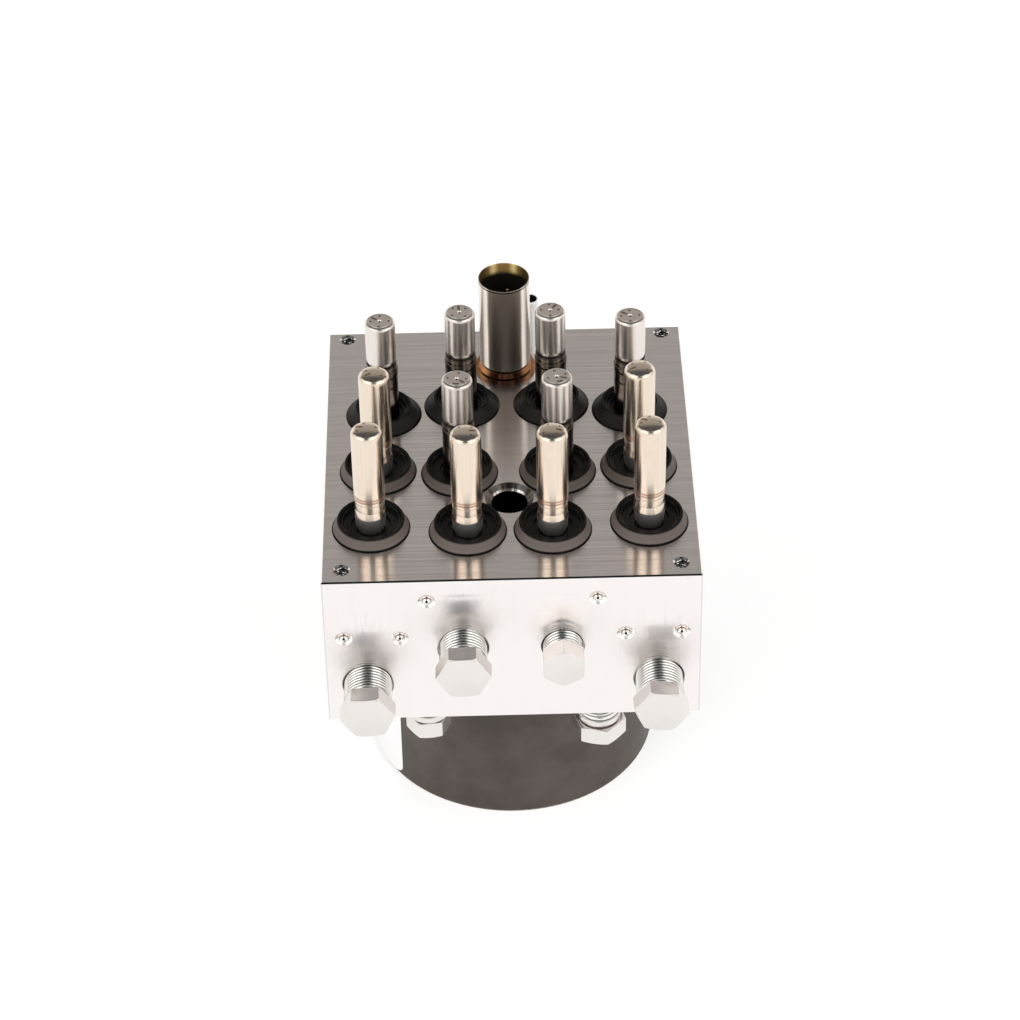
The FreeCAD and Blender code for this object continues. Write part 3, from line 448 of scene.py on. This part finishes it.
MATERIALS = {
    "block": block_metal(),
    "valve_smooth": can_steel("domed_can_steel", (0.81, 0.70, 0.585), (0.64, 0.52, 0.41), 0.22,
                              SMOOTH_ZONES),
    "valve_flat": can_steel("flat_can_steel", (0.80, 0.745, 0.69), (0.62, 0.57, 0.52), 0.30,
                            FLAT_ZONES, FLAT_PIT_SHADE),
    # painted sheen: the front and middle seals' outer cones are brown-grey, while the back seals'
    # copy keeps them nearly black
    "seal": seal_rubber("seal_rubber", (0.115, 0.095, 0.085), SEAL_RIMS["front"]),
    "seal_back": seal_rubber("seal_rubber_back", (0.012, 0.010, 0.009), SEAL_RIMS["back"]),
    "sensor": sensor_steel_painted_light(),
    "copper_ring": copper_painted_shade(),
    "header": coated("header_plastic", (0.012, 0.012, 0.010), (0.03, 0.028, 0.02), 0.45),
    "contact": plain_metal("bright_contact", (0.93, 0.82, 0.58), (0.80, 0.62, 0.35), 0.2),
    "terminal": terminal_plastic(),
    "plug": plain_metal("zinc_plate", (0.78, 0.75, 0.725), (0.67, 0.64, 0.61), 0.22, 300.0),
    "thread_large": screw_thread("thread_large", THREAD_RADII["large"]),
    "thread_small": screw_thread("thread_small", THREAD_RADII["small"]),
    "hole_thread": thread_painted_glints(),
    "channel_plug": domed_plug(),
    "cap": plain_metal("turned_cap", (0.74, 0.74, 0.74), (0.60, 0.60, 0.60), 0.3),
    "piston": coated("piston_plastic", (0.03, 0.03, 0.032), (0.05, 0.05, 0.052), 0.5),
    "piston_steel": plain_metal("ground_steel", (0.70, 0.70, 0.70), (0.58, 0.58, 0.58), 0.22),
    "motor": motor_coat(),
    "label": paper_label(),
    "magnet": coated("magnet_ferrite", (0.05, 0.05, 0.05), (0.08, 0.08, 0.08), 0.6),
    "core": plain_metal("core_steel", (0.42, 0.41, 0.40), (0.32, 0.31, 0.30), 0.4),
    "winding": plain_metal("enamelled_wire", (0.72, 0.35, 0.18), (0.50, 0.22, 0.10), 0.3, 1200.0),
    "carbon": coated("carbon_brush", (0.02, 0.02, 0.02), (0.04, 0.04, 0.04), 0.6),
    "marks": coated("etched_marks", (0.055, 0.040, 0.032), (0.085, 0.065, 0.052), 0.55, 1500.0),
    "dome_marks": coated("browned_marks", (0.20, 0.125, 0.065), (0.32, 0.21, 0.11), 0.4, 1500.0,
                         0.85),
}


# mesh helpers

# least turn in radians that gets a fillet, the turn of one step of a fillet, and the share of an
# edge that one fillet may take
STRAIGHT, FILLET_STEP, FILLET_SHARE = 0.03, math.radians(18), 0.45
ON_AXIS = 1e-6
TILTS = {"+Z": 0.0, "-Y": math.pi / 2, "-Z": math.pi}


def direction(a, b):
    """Unit vector from one point to another in the plane, and their distance."""
    step = Vector((b[0] - a[0], b[1] - a[1]))
    return step.normalized(), step.length


def soften(points, fillet, closed):
    """Outline with its corners rounded, as (r, z, outward normal) rings.

    A third number in a point is its own fillet, and None there marks a point of a smooth curve.
    """
    rings = []
    count = len(points)
    for i, point in enumerate(points):
        r, z = point[:2]
        size = point[2] if len(point) > 2 else fillet
        before = points[i - 1] if i or closed else None
        after = points[(i + 1) % count] if i < count - 1 or closed else None
        if before is None or after is None:
            along = direction(point, after)[0] if before is None else direction(before, point)[0]
            rings.append((r, z, along.y, -along.x))
            continue
        enter, length_in = direction(before, point)
        leave, length_out = direction(point, after)
        turn = math.atan2(enter.x * leave.y - enter.y * leave.x, enter.dot(leave))
        if size is None or abs(turn) < STRAIGHT:
            mean = (enter + leave).normalized()
            rings.append((r, z, mean.y, -mean.x))
            continue
        half = math.tan(abs(turn) / 2)
        cut = min(size * half, FILLET_SHARE * length_in, FILLET_SHARE * length_out)
        radius = cut / half * (1 if turn > 0 else -1)
        centre = Vector((r, z)) - enter * cut + radius * Vector((-enter.y, enter.x))
        steps = max(2, round(abs(turn) / FILLET_STEP))
        for k in range(steps + 1):
            angle = turn * k / steps
            along = Vector((enter.x * math.cos(angle) - enter.y * math.sin(angle),
                            enter.x * math.sin(angle) + enter.y * math.cos(angle)))
            spot = centre - radius * Vector((-along.y, along.x))
            rings.append((spot.x, spot.y, along.y, -along.x))
    return rings


def add_mesh(name, points, faces, slot, normals=None, finish=None):
    """New piece from points in millimetres, with the material of its finish, or of its slot when it
    has none.
    """
    mesh = bpy.data.meshes.new(name)
    mesh.from_pydata([tuple(c * MM for c in p) for p in points], [], faces)
    mesh.polygons.foreach_set("use_smooth", [True] * len(faces))
    if normals:
        mesh.normals_split_custom_set_from_vertices(normals)
    mesh.materials.append(MATERIALS[finish or slot])
    piece = bpy.data.objects.new(name, mesh)
    scene.collection.objects.link(piece)
    return piece


def settle(piece, place, facing="+Z", turn=0.0, stands_for=(), body="module"):
    """Puts a piece built up +Z in its place and lets it ride on its body."""
    piece.matrix_world = (Matrix.Translation([c * MM for c in place])
                          @ Matrix.Rotation(TILTS[facing], 4, "X")
                          @ Matrix.Rotation(math.radians(turn), 4, "Z"))
    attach(piece, body)
    if stands_for:
        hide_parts(*stands_for)


def lathe(name, outline, slot, fillet=0.08, segments=72, closed=False, finish=None):
    """Turned piece from an outline that has its material on the left of its way."""
    rings = soften(outline, fillet, closed)
    points, normals, starts = [], [], []
    circle = [(math.cos(2 * math.pi * j / segments), math.sin(2 * math.pi * j / segments))
              for j in range(segments)]
    for r, z, nr, nz in rings:
        starts.append(len(points))
        if r < ON_AXIS:
            points.append((0, 0, z))
            normals.append((0, 0, 1 if nz > 0 else -1))
            continue
        points += [(r * c, r * s, z) for c, s in circle]
        normals += [(nr * c, nr * s, nz) for c, s in circle]
    faces = []
    pairs = list(zip(range(len(rings)), range(1, len(rings))))
    if closed:
        pairs.append((len(rings) - 1, 0))
    for i, n in pairs:
        a, b = starts[i], starts[n]
        for j in range(segments):
            k = (j + 1) % segments
            if rings[i][0] < ON_AXIS:
                faces.append((a, b + k, b + j))
            elif rings[n][0] < ON_AXIS:
                faces.append((a + j, a + k, b))
            else:
                faces.append((a + j, a + k, b + k, b + j))
    return add_mesh(name, points, faces, slot, normals, finish)


def curve(centre, radius, start, end, steps):
    """Points of a smooth arc between two angles, in degrees from the r axis."""
    made = []
    for k in range(steps + 1):
        angle = math.radians(start + (end - start) * k / steps)
        made.append((centre[0] + radius * math.cos(angle),
                     centre[1] + radius * math.sin(angle), None))
    return made


def standing_place(node):
    """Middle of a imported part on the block's top."""
    low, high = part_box(node)
    return (low.x + high.x) / 2 / MM, (low.y + high.y) / 2 / MM, TOP


# valve stems

# a domed top's rounded edge, slope where that edge ends, radius and level, and a flat top's level
DOME_EDGE, DOME_SLOPE, DOME_RADIUS, DOME_LEVEL = 1.6, math.radians(20.0), 3.88, 31.1
FLAT_LEVEL = 29.9
MARK_HEIGHT, MARK_SINK = 0.032, 0.02
# direction of each top's radial bar, from +X
TOP_TURNS = {"front_outer_left": 157, "front_outer_right": 146, "front_inner_left": 8,
             "front_inner_right": -7, "middle_outer_left": 207, "middle_outer_right": 198,
             "middle_inner_left": -44, "middle_inner_right": -18, "back_outer_left": 143,
             "back_outer_right": 146, "back_inner_left": 95, "back_inner_right": 55}


def chamber(radius, floor, ceiling):
    """Inside of a valve and its foot in the block, up to its flange."""
    return [(0, ceiling), (radius, ceiling), (radius, floor), (1.1, floor), (1.1, -19.0),
            (4.6, -19.0), (4.6, -3.2), (6.0, -3.2), (6.0, -1.2)]


def dome_arc():
    """Radius and centre height of the domed top inside its rounded edge."""
    rim = DOME_RADIUS - DOME_EDGE + DOME_EDGE * math.sin(DOME_SLOPE)
    cap = rim / math.sin(DOME_SLOPE)
    return cap, DOME_LEVEL - DOME_EDGE + (DOME_EDGE - cap) * math.cos(DOME_SLOPE)


def dome_height(r):
    cap, centre = dome_arc()
    return centre + math.sqrt(cap * cap - r * r)


def weld_line(radius, z):
    """Shallow line pressed into the can."""
    return [(radius, z - 0.1, 0.04), (radius - 0.07, z - 0.03, 0.04),
            (radius - 0.07, z + 0.03, 0.04), (radius, z + 0.1, 0.04)]


def smooth_outline():
    """Domed valve: flared body, collar, tapered neck with a groove, weld lines and a drawn can."""
    cap, centre = dome_arc()
    slope = math.degrees(DOME_SLOPE)
    top = curve((DOME_RADIUS - DOME_EDGE, DOME_LEVEL - DOME_EDGE), DOME_EDGE, 0, 90 - slope, 14)
    top += curve((0, centre), cap, 90 - slope, 90, 10)[1:]
    return chamber(3.38, 10.8, 29.5) + [
        (3.3, -1.2, 0.3), (3.3, 1.0, 0.3), (3.65, 1.4, 0.3), (3.93, 5.0, 0.2), (3.93, 5.3, 0.2),
        (3.65, 7.1, 0.8), (3.65, 9.2, 0.05), (3.45, 9.22, 0.05), (3.45, 9.48, 0.05),
        (3.65, 9.5, 0.05), (3.65, 10.3, 0.1), (3.82, 10.32, 0.1), (DOME_RADIUS, 10.42, 0.1),
        *weld_line(DOME_RADIUS, 10.7), *weld_line(DOME_RADIUS, 11.41),
        *top[:-1], (0, top[-1][1])]


def flat_outline():
    """Flat-topped valve: grooved body, collar, rolled-in can and a dimpled top."""
    can, edge, level = 3.87, 0.95, FLAT_LEVEL
    return chamber(3.05, 8.5, 28.9) + [
        (4.0, -1.2, 0.3), (4.0, 10.5), (3.68, 10.55), (3.68, 10.85), (4.0, 10.9), (4.0, 13.6),
        (3.65, 13.65), (3.65, 13.95), (4.0, 14.0), (4.0, 14.3, 0.05), (4.12, 14.3), (4.12, 15.2),
        (3.85, 15.2), (3.85, 16.3, 0.03), (3.79, 16.38, 0.03), (3.85, 16.46, 0.03), (3.85, 17.0),
        (3.55, 17.05), (3.55, 17.5), (3.78, 18.1, 0.4), (can, 18.7, 0.6),
        *curve((can - edge, level - edge), edge, 0, 86, 10), (2.95, level - 0.02, 0.02),
        (2.88, level - 0.06, 0.02), (2.82, level, 0.02), (0.62, level, 0.05),
        (0.32, level - 0.3, 0.05), (0.28, level - 0.5, 0.05), (0, level - 0.5)]


def bead_strip(points, half_width, height_at):
    """Raised mark with rounded sides along a short row of (x, y) points on a turned top."""
    steps = 6
    row = steps + 1
    verts, faces = [], []
    for i, (x, y) in enumerate(points):
        run = direction(points[max(i - 1, 0)], points[min(i + 1, len(points) - 1)])[0]
        narrowed = half_width * (0.75 if i in (0, len(points) - 1) else 1.0)
        for k in range(row):
            angle = math.pi * k / steps
            off = narrowed * math.cos(angle)
            lift = MARK_HEIGHT * min(1.0, 2 * math.sin(angle)) - MARK_SINK
            px, py = x - run.y * off, y + run.x * off
            verts.append((px, py, height_at(math.hypot(px, py)) + lift))
    for i in range(len(points) - 1):
        for k in range(steps):
            a = i * row + k
            faces.append((a, a + 1, a + row + 1, a + row))
        faces.append((i * row, (i + 1) * row, (i + 1) * row + steps, i * row + steps))
    faces.append(tuple(range(steps, -1, -1)))
    last = (len(points) - 1) * row
    faces.append(tuple(last + k for k in range(row)))
    return verts, faces


def top_marks(name, place, height_at, marks, slot, finish):
    """Plain index marks on a valve's top.

    Each is a bar from one (radius, angle) to another, with its half width.
    """
    verts, faces = [], []
    for (r0, a0), (r1, a1), half in marks:
        row = []
        for k in range(5):
            r = r0 + (r1 - r0) * k / 4
            angle = math.radians(a0 + (a1 - a0) * k / 4)
            row.append((r * math.cos(angle), r * math.sin(angle)))
        strip, quads = bead_strip(row, half, height_at)
        faces += [tuple(i + len(verts) for i in face) for face in quads]
        verts += strip
    settle(add_mesh(name, verts, faces, slot, finish=finish), place)


def valves():
    """Stems, each at a random turn about its axis, and the marks on their tops."""
    for kind, names, outline, finish, height_at in (
            ("valve_smooth", SMOOTH_VALVES, smooth_outline(), "dome_marks", dome_height),
            ("valve_flat", FLAT_VALVES, flat_outline(), "marks", lambda r: FLAT_LEVEL)):
        for name in names:
            for side in SIDES:
                key = name + "_" + side
                place = standing_place("valve_" + key)
                stem = lathe("stem_" + key, outline, kind, segments=80)
                settle(stem, place, turn=random.uniform(0, 360), stands_for=["valve_" + key])
                # a radial bar, an arc beside it and three dots further round
                bar = TOP_TURNS[key]
                arc, half = bar - 52, 22 if name == "middle_inner" else 8
                marks = [((0.9, bar), (2.7, bar), 0.38),
                         ((2.1, arc - half), (2.1, arc + half), 0.40)]
                for dot in (bar + 40, bar + 122, bar + 214):
                    marks.append(((2.3, dot - 8), (2.3, dot + 8), 0.32))
                top_marks("marks_" + key, place, height_at, marks, kind, finish)


# seals

def seal_outline(bore, rim):
    """Dished cup around a stem: outer cone, rim and the steps down into the dish."""
    flare = SEAL_RADIUS - rim
    return [(bore, -1.0), (SEAL_RADIUS, -1.0), (SEAL_RADIUS, 0.35, 0.2),
            (SEAL_RADIUS - 0.4 * flare, 1.05, 0.5), (rim + 0.06 * flare, 2.75, 0.3),
            (rim, 3.0, 0.12), (rim - 0.58, 3.0, 0.12), (rim - 0.82, 2.5, 0.2),
            (rim - 1.05, 2.15, 0.1), (rim - 1.3, 2.05, 0.1), (rim - 1.6, 1.42, 0.15),
            (rim - 1.9, 1.3, 0.15), (4.95, 1.3, 0.1), (4.85, 0.7, 0.15), (bore, 0.7)]


def seals():
    for names, bore in ((SMOOTH_VALVES, 3.4), (FLAT_VALVES, 4.1)):
        for name in names:
            row = name.split("_")[0]
            outline = seal_outline(bore, SEAL_RIMS[row])
            finish = "seal_back" if row == "back" else "seal"
            for side in SIDES:
                key = name + "_" + side
                seal = lathe("seal_" + key, outline, "seal", segments=96, closed=True,
                             finish=finish)
                settle(seal, standing_place("valve_" + key), stands_for=["seal_cups_" + row])


# sensor and terminal

def sensor():
    """Open can with its ring, and the terminal tube behind it."""
    can, bore, top = SENSOR_RADIUS, SENSOR_RADIUS - 0.3, SENSOR_HEIGHT
    place = standing_place("sensor_can")
    shell = lathe("sensor_shell", [
        (0, -10.0), (5.0, -10.0), (5.0, 2.5), (6.1, 2.5, 0.2), (can, 3.3, 0.5), (can, top, 0.12),
        (bore, top, 0.12), (bore, 13.0), (0, 13.0)],
        "sensor", segments=112)
    settle(shell, place, stands_for=["sensor_can"])
    ring = lathe("sensor_gasket", [
        (5.1, 0.0), (7.8, 0.0, 0.1), (7.8, 1.1, 0.25), (6.9, 1.1, 0.2), (6.2, 2.4, 0.25),
        (5.1, 2.4, 0.1)],
        "copper_ring", segments=112, closed=True)
    settle(ring, place, stands_for=["sensor_ring"])
    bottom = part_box("terminal_sleeve")[0].z / MM - TOP
    sleeve = lathe("terminal_post", [
        (1.15, bottom), (2.1, bottom), (2.1, 16.5, 0.16), (TERMINAL_SOCKET, 16.5, 0.12),
        (TERMINAL_SOCKET, 9.5), (1.15, 9.5)],
        "terminal", segments=48, closed=True)
    settle(sleeve, standing_place("terminal_sleeve"), stands_for=["terminal_sleeve"])


# screw plugs and channel plugs

# each plug's size, hole, facing, width across flats, reach of its head and turn
PLUGS = (
    ("large", (-36.2, FRONT, TOP - 33.3), "-Y", 12.0, 12.7, 5.0),
    ("large", (-12.3, FRONT, TOP - 22.1), "-Y", 12.0, 11.2, 2.0),
    ("small", (12.3, FRONT, TOP - 22.1), "-Y", 10.0, 8.7, 30.0),
    ("large", (36.2, FRONT, TOP - 33.3), "-Y", 12.0, 12.9, -7.0),
    ("small", (-21.65, MIDDLE_Y - 42.5, BOTTOM), "-Z", 10.0, 10.1, -5.8),
    ("small", (21.65, MIDDLE_Y - 42.5, BOTTOM), "-Z", 12.0, 12.8, 13.0),
)
HEAD, UNDERCUT, COLLAR = 4.9, 0.4, 1.7
SHANKS = {"large": 17.0, "small": 13.0}
PITCH, THREAD_DEPTH, RUN_OUT = 1.0, 0.6, 0.8
# how far the neck lies inside the thread's radius, and the collar outside it
NECK_STEP, COLLAR_STEP = 0.5, 0.4
# radii of a head's outer face and of its seat as shares of half its flats, its chamfer, the
# share of that slope on the seat's side, and the width of its worn edges
FACE_SHARE, SEAT_SHARE, CHAMFER, SEAT_SLOPE, WORN = 0.975, 0.96, math.radians(23), 0.4, 0.13
# across from the middle and down from the top, for each pair of channel plugs
CHANNELS = ((20.9, 6.6), (41.6, 18.1), (27.8, 18.3))


def hex_reach(angle, flats):
    """Distance from the middle to a hexagon's side, with a corner at angle 0."""
    local = (angle % (math.pi / 3)) - math.pi / 6
    return flats / 2 / math.cos(local)


def hex_head(name, flats, thickness):
    """Hexagon head with the curved edges that a turned chamfer leaves on its flats."""
    count = 96
    angles = [2 * math.pi * j / count for j in range(count)]
    reaches = [hex_reach(a, flats) for a in angles]
    slope = math.tan(CHAMFER)
    half = flats / 2
    face = half * FACE_SHARE
    rows = ([(face, 0)] * count,
            [(r, -(r - face) * slope) for r in reaches],
            [(r, -thickness + (r - half) * slope * SEAT_SLOPE) for r in reaches],
            [(half * SEAT_SHARE, -thickness)] * count)
    points = [(0, 0, 0)]
    for row in rows:
        points += [(r * math.cos(a), r * math.sin(a), z) for a, (r, z) in zip(angles, row)]
    points.append((0, 0, -thickness))
    faces = []
    for j in range(count):
        k = (j + 1) % count
        faces.append((0, 1 + j, 1 + k))
        for ring in range(3):
            a = 1 + ring * count
            b = a + count
            faces.append((a + j, b + j, b + k, a + k))
        last = 1 + 3 * count
        faces.append((last + j, len(points) - 1, last + k))
    head = add_mesh(name, points, faces, "plug")
    bevel = head.modifiers.new("edges", "BEVEL")
    bevel.width = WORN * MM
    bevel.segments = 2
    bevel.limit_method = "ANGLE"
    bevel.angle_limit = math.radians(22)
    head.modifiers.new("normals", "WEIGHTED_NORMAL")
    return head


def thread(name, radius, start, end, finish):
    """Closed threaded shank, tapered at its lower end and plain at its upper one."""
    segments, per_pitch = 64, 8
    rows = round((end - start) / PITCH * per_pitch)
    points, faces = [], []
    for i in range(rows + 1):
        z = start + (end - start) * i / rows
        fade = min(1.0, (end - z) / RUN_OUT)
        taper = max(0.0, RUN_OUT - (z - start))
        for j in range(segments):
            phase = (z / PITCH - j / segments) % 1.0
            cut = THREAD_DEPTH * (1 - abs(2 * phase - 1)) ** 0.85
            r = radius - max(cut * fade, taper)
            angle = 2 * math.pi * j / segments
            points.append((r * math.cos(angle), r * math.sin(angle), z))
    for i in range(rows):
        for j in range(segments):
            k = (j + 1) % segments
            a, b = i * segments, (i + 1) * segments
            faces.append((a + j, a + k, b + k, b + j))
    points += [(0, 0, start), (0, 0, end)]
    last = rows * segments
    for j in range(segments):
        k = (j + 1) % segments
        faces.append((len(points) - 2, k, j))
        faces.append((last + j, last + k, len(points) - 1))
    return add_mesh(name, points, faces, "plug", finish=finish)


def screw_plugs():
    """Plugs with their threads; those underneath also have a smooth collar below the head."""
    for index, (size, (x, y, z), facing, flats, reach, turn) in enumerate(PLUGS):
        radius = THREAD_RADII[size]
        neck, wide, top = radius - NECK_STEP, radius + COLLAR_STEP, -HEAD - UNDERCUT
        if facing == "-Z":
            place, below = (x, y, z - reach), top - COLLAR - UNDERCUT
            collar = [(neck, top - COLLAR - 0.02, 0.1), (wide, top - COLLAR, 0.3),
                      (wide, top, 0.3)]
        else:
            place, below, collar = (x, y - reach, z), top, []
        outline = [(0, below - 0.2), (neck, below - 0.2), *collar, (neck, top + 0.02, 0.1),
                   (neck, 0.01 - HEAD, 0.05), (0, 0.01 - HEAD)]
        name = "plug_%d" % (index + 1)
        head = hex_head(name + "_head", flats, HEAD)
        seat = lathe(name + "_neck", outline, "plug", segments=96)
        screw = thread(name + "_thread", radius, top - SHANKS[size], below, "thread_" + size)
        for piece in (head, seat, screw):
            settle(piece, place, facing, turn, ["port_plugs_" + size])


def channel_plugs():
    """Ball-faced plugs that close the drillings in the front."""
    outline = [(0, -4.6), (1.3, -4.6), (1.3, -0.35, 0.06), (1.16, -0.2, 0.1)]
    outline += curve((0, -0.35), 1.1, 8, 88, 8) + [(0, 0.75)]
    for index, (x, down) in enumerate(CHANNELS):
        for side, sign in zip(SIDES, (-1, 1)):
            name = "channel_plug_%d_%s" % (index + 1, side)
            plug = lathe(name, outline, "channel_plug", 0.04, 40)
            settle(plug, (sign * x, FRONT, TOP - down), "-Y", stands_for=["channel_plugs"])


# threads of the corner holes

HOLE_RADIUS, HOLE_DEPTH, HOLE_PITCH = 1.65, 10.0, 0.7
# how far the ridge stands out of the wall and is let into it, its half widths at its root and
# crest as shares of the pitch, and how far below the block's top it starts
RIDGE, SUNK, ROOT_WIDTH, CREST_WIDTH, RIDGE_START = 0.28, 0.04, 0.46, 0.06, 0.5
# from the middle of the block's top
CORNER_HOLES = ((-41.5, -46.1), (41.5, -46.1), (-41.5, 48.0), (41.5, 48.0))


def hole_thread(name, place):
    """Thread ridge on a hole's wall, as one closed helical wedge."""
    segments = 32
    count = int((HOLE_DEPTH - 0.8) / HOLE_PITCH) * segments
    points, faces = [], []
    for i in range(count + 1):
        angle = 2 * math.pi * i / segments
        z = -RIDGE_START - HOLE_PITCH * i / segments
        size = min(1.0, i / 10, (count - i) / 10)
        root, crest = HOLE_RADIUS + SUNK, HOLE_RADIUS - RIDGE * size
        for r, lift in ((root, ROOT_WIDTH), (crest, CREST_WIDTH),
                        (crest, -CREST_WIDTH), (root, -ROOT_WIDTH)):
            points.append((r * math.cos(angle), r * math.sin(angle), z + lift * HOLE_PITCH))
    for i in range(count):
        a, b = i * 4, (i + 1) * 4
        for k in range(4):
            n = (k + 1) % 4
            faces.append((a + k, b + k, b + n, a + n))
    faces.append((3, 2, 1, 0))
    faces.append(tuple(count * 4 + k for k in range(4)))
    settle(add_mesh(name, points, faces, "block", finish="hole_thread"), place)


def corner_threads():
    for index, (x, y) in enumerate(CORNER_HOLES):
        hole_thread("corner_thread_%d" % (index + 1), (x, MIDDLE_Y + y, TOP))


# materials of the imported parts

def dress():
    """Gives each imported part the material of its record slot."""
    slots = {part["node"]: part["material_slot"] for part in frame["record"]["subparts"]}
    for name, node in nodes.items():
        node.data.materials.clear()
        node.data.materials.append(MATERIALS[slots[name]])


# floor, light and camera, in metres

FLOOR_REACH = 4.0
# stops of the band that runs from the front over the top to the back
OVERHEAD = (
    (0.0, (0.92, 0.91, 0.90)), (0.07, (0.80, 0.78, 0.76)), (0.12, (0.42, 0.395, 0.375)),
    (0.30, (0.38, 0.355, 0.335)), (0.355, (0.075, 0.085, 0.10)), (0.79, (0.075, 0.085, 0.10)),
    (0.88, (0.95, 0.94, 0.93)), (1.0, (1.0, 0.99, 0.98)),
)
# each lamp's name, place, size and power
LAMPS = (
    ("left_box", (-1.1, -1.5, 1.3), 1.2, 16.0),
    ("right_box", (1.2, -1.3, 1.4), 1.2, 13.0),
    ("top_box", (0.1, 0.5, 2.0), 1.4, 12.0),
)
LAMP_TARGET = Vector((0, -0.01, 0.07))
LENS, FILM_WIDTH = 121.67, 36.0
CAMERA_PLACE = (-0.00500, -0.69552, 0.64425)
CAMERA_BACK = (-0.005912, -0.772679, 0.634770)
CAMERA_ROLL = -0.018696


def floor():
    """Pale floor that glows a little where it is seen and stays plain where it lights the part."""
    mesh = bpy.data.meshes.new("floor")
    signs = ((-1, -1), (1, -1), (1, 1), (-1, 1))
    mesh.from_pydata([(FLOOR_REACH * x, FLOOR_REACH * y, 0) for x, y in signs], [],
                     [(0, 1, 2, 3)])
    made, g = material("floor")
    path = g.add("ShaderNodeLightPath").outputs
    seen = g.plus(g.plus(path["Is Camera Ray"], path["Is Glossy Ray"]),
                  path["Is Transmission Ray"], clamp=True)
    glow = g.add("ShaderNodeEmission", {"Color": rgb((1, 1, 1)), "Strength": 0.62}).outputs[0]
    grey = g.add("ShaderNodeBsdfDiffuse", {"Color": rgb((0.42, 0.42, 0.42))}).outputs[0]
    shown = g.add("ShaderNodeAddShader", {0: glow, 1: grey}).outputs[0]
    plain = g.add("ShaderNodeBsdfDiffuse", {"Color": rgb((0.8, 0.8, 0.8))}).outputs[0]
    both = g.add("ShaderNodeMixShader", {0: seen, 1: plain, 2: shown}).outputs[0]
    g.add("ShaderNodeOutputMaterial", {"Surface": both})
    mesh.materials.append(made)
    piece = bpy.data.objects.new("floor", mesh)
    scene.collection.objects.link(piece)


def studio():
    """World: pale sides, a grey wall behind, a dark ceiling strip and two soft boxes in front."""
    world = bpy.data.worlds.new("studio")
    scene.world = world
    g = Graph(world)
    x, y, z = g.split(g.add("ShaderNodeTexCoord").outputs["Generated"])
    over = g.math("DIVIDE", g.math("ARCTAN2", g.math("MAXIMUM", z, 0.0), y), math.pi)
    lean = g.times(g.times(x, x), g.between(z, 0.12, 0.40, 0.0, 0.24))
    colour = g.ramp(g.plus(over, lean, clamp=True), OVERHEAD)
    # pale walls at the sides, all the way up and low down, and behind on both sides
    wide = g.math("ABSOLUTE", x)
    aside = g.times(g.between(wide, 0.68, 0.80), g.between(y, 0.45, 0.25))
    colour = g.mix(aside, colour, (1.1, 1.07, 1.03))
    low_side = g.times(g.between(wide, 0.42, 0.62), g.between(z, 0.34, 0.14))
    colour = g.mix(low_side, colour, (1.0, 0.96, 0.91))
    low_back = g.times(g.between(wide, 0.34, 0.48), g.between(y, 0.58, 0.70))
    low_back = g.times(low_back, g.between(z, 0.48, 0.38))
    colour = g.mix(low_back, colour, (1.15, 1.13, 1.10))
    # soft boxes to the left and right of the front
    around = g.math("ABSOLUTE", g.math("ARCTAN2", x, g.times(y, -1.0)))
    height = g.math("ARCSINE", z)
    box = g.times(g.band(around, math.radians(22), math.radians(82), 0.05),
                  g.band(height, math.radians(14), math.radians(62), 0.05))
    colour = g.mix(box, colour, (1.6, 1.58, 1.55))
    sky = g.add("ShaderNodeBackground", {"Color": colour, "Strength": 1.0}).outputs[0]
    g.add("ShaderNodeOutputWorld", {"Surface": sky})


def lamp(name, place, size, power):
    """Square lamp aimed at the part, unseen in its reflections."""
    light = bpy.data.lights.new(name, "AREA")
    light.shape = "SQUARE"
    light.size = size
    light.energy = power
    holder = bpy.data.objects.new(name, light)
    scene.collection.objects.link(holder)
    aim = LAMP_TARGET - Vector(place)
    holder.rotation_euler = aim.to_track_quat("-Z", "Y").to_euler()
    holder.location = place
    holder.visible_glossy = False


def camera():
    data = bpy.data.cameras.new("camera")
    data.lens = LENS
    data.sensor_width = FILM_WIDTH
    data.clip_end = 20.0
    holder = bpy.data.objects.new("camera", data)
    scene.collection.objects.link(holder)
    back = Vector(CAMERA_BACK).normalized()
    right = Vector((0, 0, 1)).cross(back).normalized()
    up = back.cross(right)
    across = right * math.cos(CAMERA_ROLL) + up * math.sin(CAMERA_ROLL)
    upward = up * math.cos(CAMERA_ROLL) - right * math.sin(CAMERA_ROLL)
    turn = Matrix((across, upward, back)).transposed().to_4x4()
    holder.matrix_world = Matrix.Translation(CAMERA_PLACE) @ turn
    scene.camera = holder


dress()
valves()
seals()
sensor()
screw_plugs()
channel_plugs()
corner_threads()
floor()
studio()
for entry in LAMPS:
    lamp(*entry)
camera()
scene.view_settings.view_transform = "Standard"
